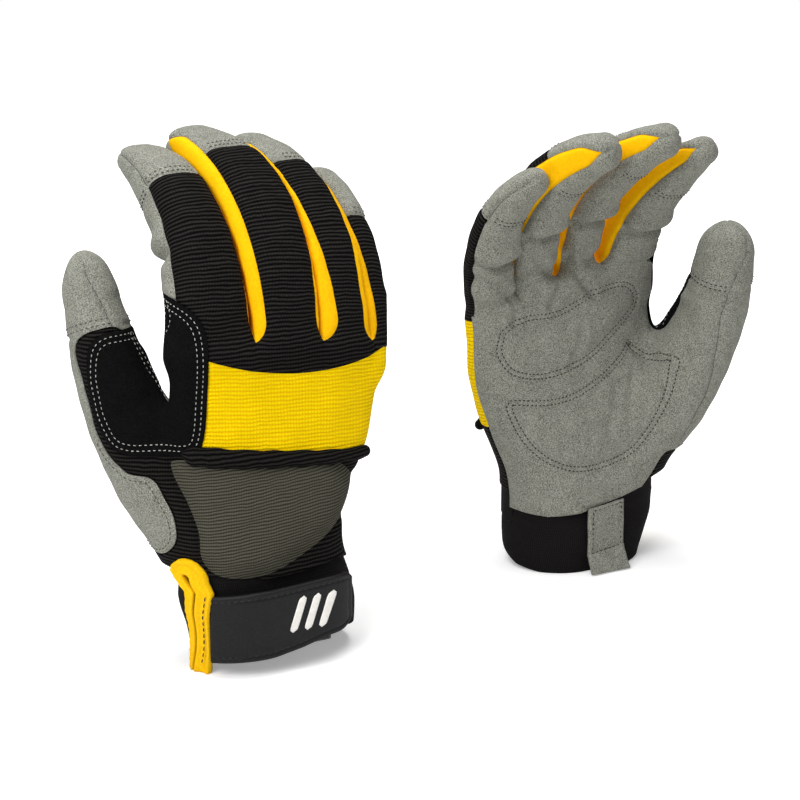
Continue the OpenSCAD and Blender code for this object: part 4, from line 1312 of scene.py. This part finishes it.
def sew_patch_rows(glove):
    """Two white rows inside the web patch's edge, shared out to the hand, the thumb and the index finger."""
    kept = []
    limb = glove.limbs["thumb"]
    lines = [from_chart(glove, np.concatenate([loop, loop[:1]])) for loop in
             (shrunk(loop_through(SADDLE, 500), by) for by in (1.9, 4.0))]
    along = np.linspace(66, 100, 40)
    lines += [glove.settle(limb.place(along, np.full(40, turn))) for turn in (316, 325)]
    for run in (r for line in lines for r in runs(line)):
        at, way = spaced(run, 2.1)
        at = glove.settle(at)
        out = unit(glove.slope(at))
        v = hand_values(glove, at, out)
        on_index = glove.above_slots(at) > 0
        at = at + (np.where(on_index, soft_folds(at), hand_height(v)) + PATCH_LIFT - 0.05)[:, None] * out
        group = np.where(v["thumb"] > 0, 1, np.where(on_index, 2, 0))
        inside = v["saddle"] > 1.2
        kept.append([row[inside] for row in (at, level(way, out), out, group)])
    at, way, out, group = (np.concatenate(r) for r in zip(*kept))
    for k, (name, part) in enumerate((("patch", "hand"), ("thumb_patch", "thumb"), ("index_patch", "index"))):
        mine = group == k
        stitch(glove, name + "_stitches", part, [(at[mine], way[mine], out[mine])], WHITE_THREAD, 1.35, 0.17)


def cord(glove, path, finger=None):
    """A seam's edge: a thin cord half sunk along a line on the suede of the hand or of a finger."""
    at = glove.settle(path, finger)
    out = unit(glove.slope(at, finger))
    if finger is None:
        h = hand_height(hand_values(glove, at, out))
    else:
        h = finger_height(finger_values(glove, finger, at, out))
    at = at + (h + 0.3)[:, None] * out
    side = np.cross(unit(np.gradient(at, axis=0)), out)
    turn = np.linspace(0, 2 * np.pi, 6, endpoint=False)[:, None]
    return tube(at[:, None] + 0.28 * (np.cos(turn) * side[:, None] + np.sin(turn) * out[:, None]))


def sew_seams(glove):
    """The seams that show as dark lines in the suede: along the thumb and over the outer fingers' tips."""
    limb = glove.limbs["thumb"]
    lines = [(np.linspace(30, 0.985 * limb.length, 90), THUMB_RIDGE),
             (np.linspace(THUMB_CAP, 0.985 * limb.length, 40), THUMB_INNER)]
    parts = [cord(glove, limb.place(length, np.interp(length, *turn))) for length, turn in lines]
    ride_like(glove, put(glove, glove.node("thumb_seams"), *joined(parts), SEAM_THREAD), "thumb")
    for name, seam in (("index", 1), ("little", 0)):
        limb = glove.limbs[name]
        share = np.linspace(SEAMS[name][4], 0.985, 50)
        path = limb.place(share * limb.length, mix(*SEAMS[name][seam], ease(share)))
        seam_cord = put(glove, glove.node(f"{name}_seam"), *cord(glove, path, name), SEAM_THREAD)
        ride_like(glove, seam_cord, name)


def sew_palm_rows(glove):
    """Dark quilting rows round the two palm pads, and grey rows along the end of the thumb wrap."""
    rows = []
    for outline in (UPPER_PAD, HEEL_PAD):
        for by in (0.0, 2.1):
            loop = shrunk(loop_through(outline, 300), by)
            loop = np.concatenate([loop, loop[:1]])
            start = np.stack([loop[:, 0], np.full(len(loop), 70.0), loop[:, 1]], 1)
            for run in runs(cast(glove, start, np.array([0, -1.0, 0]))):
                rows.append(hand_row(glove, run, 1.9))
    stitch(glove, "palm_stitches", "hand", rows, DARK_THREAD, 1.3, 0.3)
    loop = shrunk(loop_through(FLAP, 400), 1.9)
    loop = loop[(loop[:, 0] < 34) & (loop[:, 1] < 100)]
    start = np.stack([np.full(len(loop), -110.0), loop[:, 0], loop[:, 1]], 1)
    rows = [hand_row(glove, run, 2.2) for run in runs(cast(glove, start, np.array([1.0, 0, 0])))]
    at, way, out = (np.concatenate(r) for r in zip(*rows))
    low = (at - WEB) @ THUMB_WAY < 0
    stitch(glove, "wrap_stitches", "hand", [(at[low], way[low], out[low])], GREY_THREAD, 1.5, 0.24)


def sew_thumb_rows(glove):
    """Two rows along the thumb cap's edge: grey on the back, dark on the palm side."""
    limb = glove.limbs["thumb"]
    for name, turns, cloth in (("thumb_cap_stitches", (-2, 150), GREY_THREAD),
                               ("thumb_front_stitches", (205, 305), DARK_THREAD)):
        rows = []
        for ahead in (1.4, 3.6):
            turn = np.linspace(*turns, 60)
            path = glove.settle(limb.place(np.full(60, THUMB_CAP + ahead), turn))
            rows.append(hand_row(glove, path, 2.1))
        stitch(glove, name, "thumb", rows, cloth, 1.35, 0.24)


def sew_finger_rows(glove, name):
    """Dark double rows across the finger's front and grey ones along the edge of its back cap."""
    limb = glove.limbs[name]
    (u1, _), (r1, _), (r2, _), (u2, _), back, front = SEAMS[name]
    for label, turns, share, cloth in (("back", (u1 + 8, r1 - 4), back, GREY_THREAD),
                                       ("front", (r2 + 8, u2 + 352), front, DARK_THREAD)):
        rows = []
        for ahead in (1.2, 3.2):
            turn = np.linspace(*turns, 40)
            path = glove.settle(limb.place(np.full(40, share * limb.length + ahead), turn), name)
            at, way = spaced(path, 2.0)
            at = glove.settle(at, name)
            out = unit(glove.slope(at, name))
            v = finger_values(glove, name, at, out)
            at = at + (finger_height(v) + SUEDE_LIFT)[:, None] * out
            clear = (v["own"] > 0.8) & (v["slots"] > 1)
            rows.append([row[clear] for row in (at, level(way, out), out)])
        stitch(glove, f"{name}_{label}_stitches", name, rows, cloth, 1.3, 0.24)


def sew_strap_rows(glove):
    """Stitches in the groove round the strap's border."""
    run = np.linspace(STRAP_ENDS[0] + 1, STRAP_ENDS[1] - GROOVE, 120)
    low, top = strap_edges(run + GROOVE - 0.1)
    run = np.concatenate([run, run[::-1]])
    path = round_cuff(run, np.concatenate([low + GROOVE, top[::-1] - GROOVE]), STRAP_FACE - 0.3)
    at, way = spaced(path, 2.6)
    up = unit((at - [CUFF_SHIFT, 0, 0]) * [1, 1, 0])
    stitch(glove, "strap_stitches", "wrist_strap", [(at, way, up)], DARK_THREAD, 1.6, 0.24)


for number in (1, 2):
    glove = Glove(number)
    sew_hand(glove)
    for finger in FINGERS:
        sew_finger(glove, finger)
        sew_finger_rows(glove, finger)
    sew_patch_rows(glove)
    sew_palm_rows(glove)
    sew_thumb_rows(glove)
    sew_seams(glove)
    sew_fold(glove)
    sew_cuff(glove)
    stitch(glove, "binding_stitches", "hand", [sew_binding(glove)], DARK_THREAD)
    sew_strap(glove)
    sew_strap_rows(glove)
    sew_bars(glove)
    sew_tapes(glove)
    stitch(glove, "tab_stitches", "hand", [sew_tab(glove)], DARK_THREAD, 1.5, 0.24)


# Each soft lamp: place and size in metres, and watts. They all point at the same place between the gloves.
LAMPS = {
    "key": ((-1.12, -0.6, 1.15), 0.9, 20),
    "fill": ((0.9, -1.0, 0.6), 1.0, 2.2),
    "top": ((0.0, 0.15, 1.4), 1.1, 20),
}
LAMP_AIM = Vector((-0.02, -0.02, 0.1))
FLOOR_HALF = 3.0
# The world's strength on the gloves, and as the camera's white background.
WORLD_LIGHT = 0.16
WORLD_SEEN = 1.0


def stage_and_light():
    """A pale floor, a large soft lamp on each side and above, and a white world."""
    s = FLOOR_HALF
    mesh = bpy.data.meshes.new("floor")
    mesh.from_pydata([(-s, -s, 0), (s, -s, 0), (s, s, 0), (-s, s, 0)], [], [(0, 1, 2, 3)])
    floor = bpy.data.objects.new("floor", mesh)
    bpy.context.scene.collection.objects.link(floor)
    # Matt white paper sweep: shows the soft shadow of the gloves, and fades to pure white away from them.
    paper, tree, shader = material("white paper sweep", Base_Color=colour("#F4F4F4"), Roughness=0.9)
    place = add(tree, "TexCoord", {}).outputs["Object"]
    away = add(tree, "VectorMath", {0: place}, operation="LENGTH")
    bright = add(tree, "MapRange", {0: away.outputs["Value"], 1: 0.25, 2: 0.9, 3: 0.3, 4: 1.0})
    path = add(tree, "LightPath", {})
    glow = add(tree, "Math", {0: path.outputs["Is Camera Ray"], 1: bright.outputs[0]}, operation="MULTIPLY")
    tree.links.new(glow.outputs[0], shader.inputs["Emission Strength"])
    shader.inputs["Emission Color"].default_value = (1, 1, 1, 1)
    mesh.materials.append(paper)
    for name, (at, size, power) in LAMPS.items():
        lamp = bpy.data.lights.new(name, "AREA")
        lamp.size, lamp.energy = size, power
        obj = bpy.data.objects.new(name, lamp)
        obj.location = at
        aim = LAMP_AIM - obj.location
        obj.rotation_euler = aim.to_track_quat("-Z", "Y").to_euler()
        bpy.context.scene.collection.objects.link(obj)
    world = bpy.data.worlds.new("studio")
    bpy.context.scene.world = world
    world.use_nodes = True
    tree = world.node_tree
    path = add(tree, "LightPath", {})
    bright = add(tree, "MapRange", {0: path.outputs["Is Camera Ray"], 3: WORLD_LIGHT, 4: WORLD_SEEN})
    tree.nodes["Background"].inputs["Color"].default_value = (1, 1, 1, 1)
    tree.links.new(bright.outputs[0], tree.nodes["Background"].inputs["Strength"])


# The photo's view: degrees round and down, metres away, the place it looks at in millimetres, and the lens.
VIEW_TURN, VIEW_TILT, VIEW_AWAY = -30.6, 14, 0.814
VIEW_AT = (-26.7, -17.5, 95.4)
LENS = 89.3


def place_camera():
    """The camera at the photo's view of the pair."""
    turn, tilt = np.radians(VIEW_TURN), np.radians(VIEW_TILT)
    back = Vector((np.sin(turn) * np.cos(tilt), -np.cos(turn) * np.cos(tilt), np.sin(tilt)))
    data = bpy.data.cameras.new("camera")
    data.lens, data.sensor_width = LENS, 36
    camera = bpy.data.objects.new("camera", data)
    camera.location = Vector(VIEW_AT) * MM + back * VIEW_AWAY
    camera.rotation_euler = (-back).to_track_quat("-Z", "Y").to_euler()
    bpy.context.scene.collection.objects.link(camera)
    bpy.context.scene.camera = camera


bpy.context.scene.view_settings.view_transform = "Standard"
stage_and_light()
place_camera()
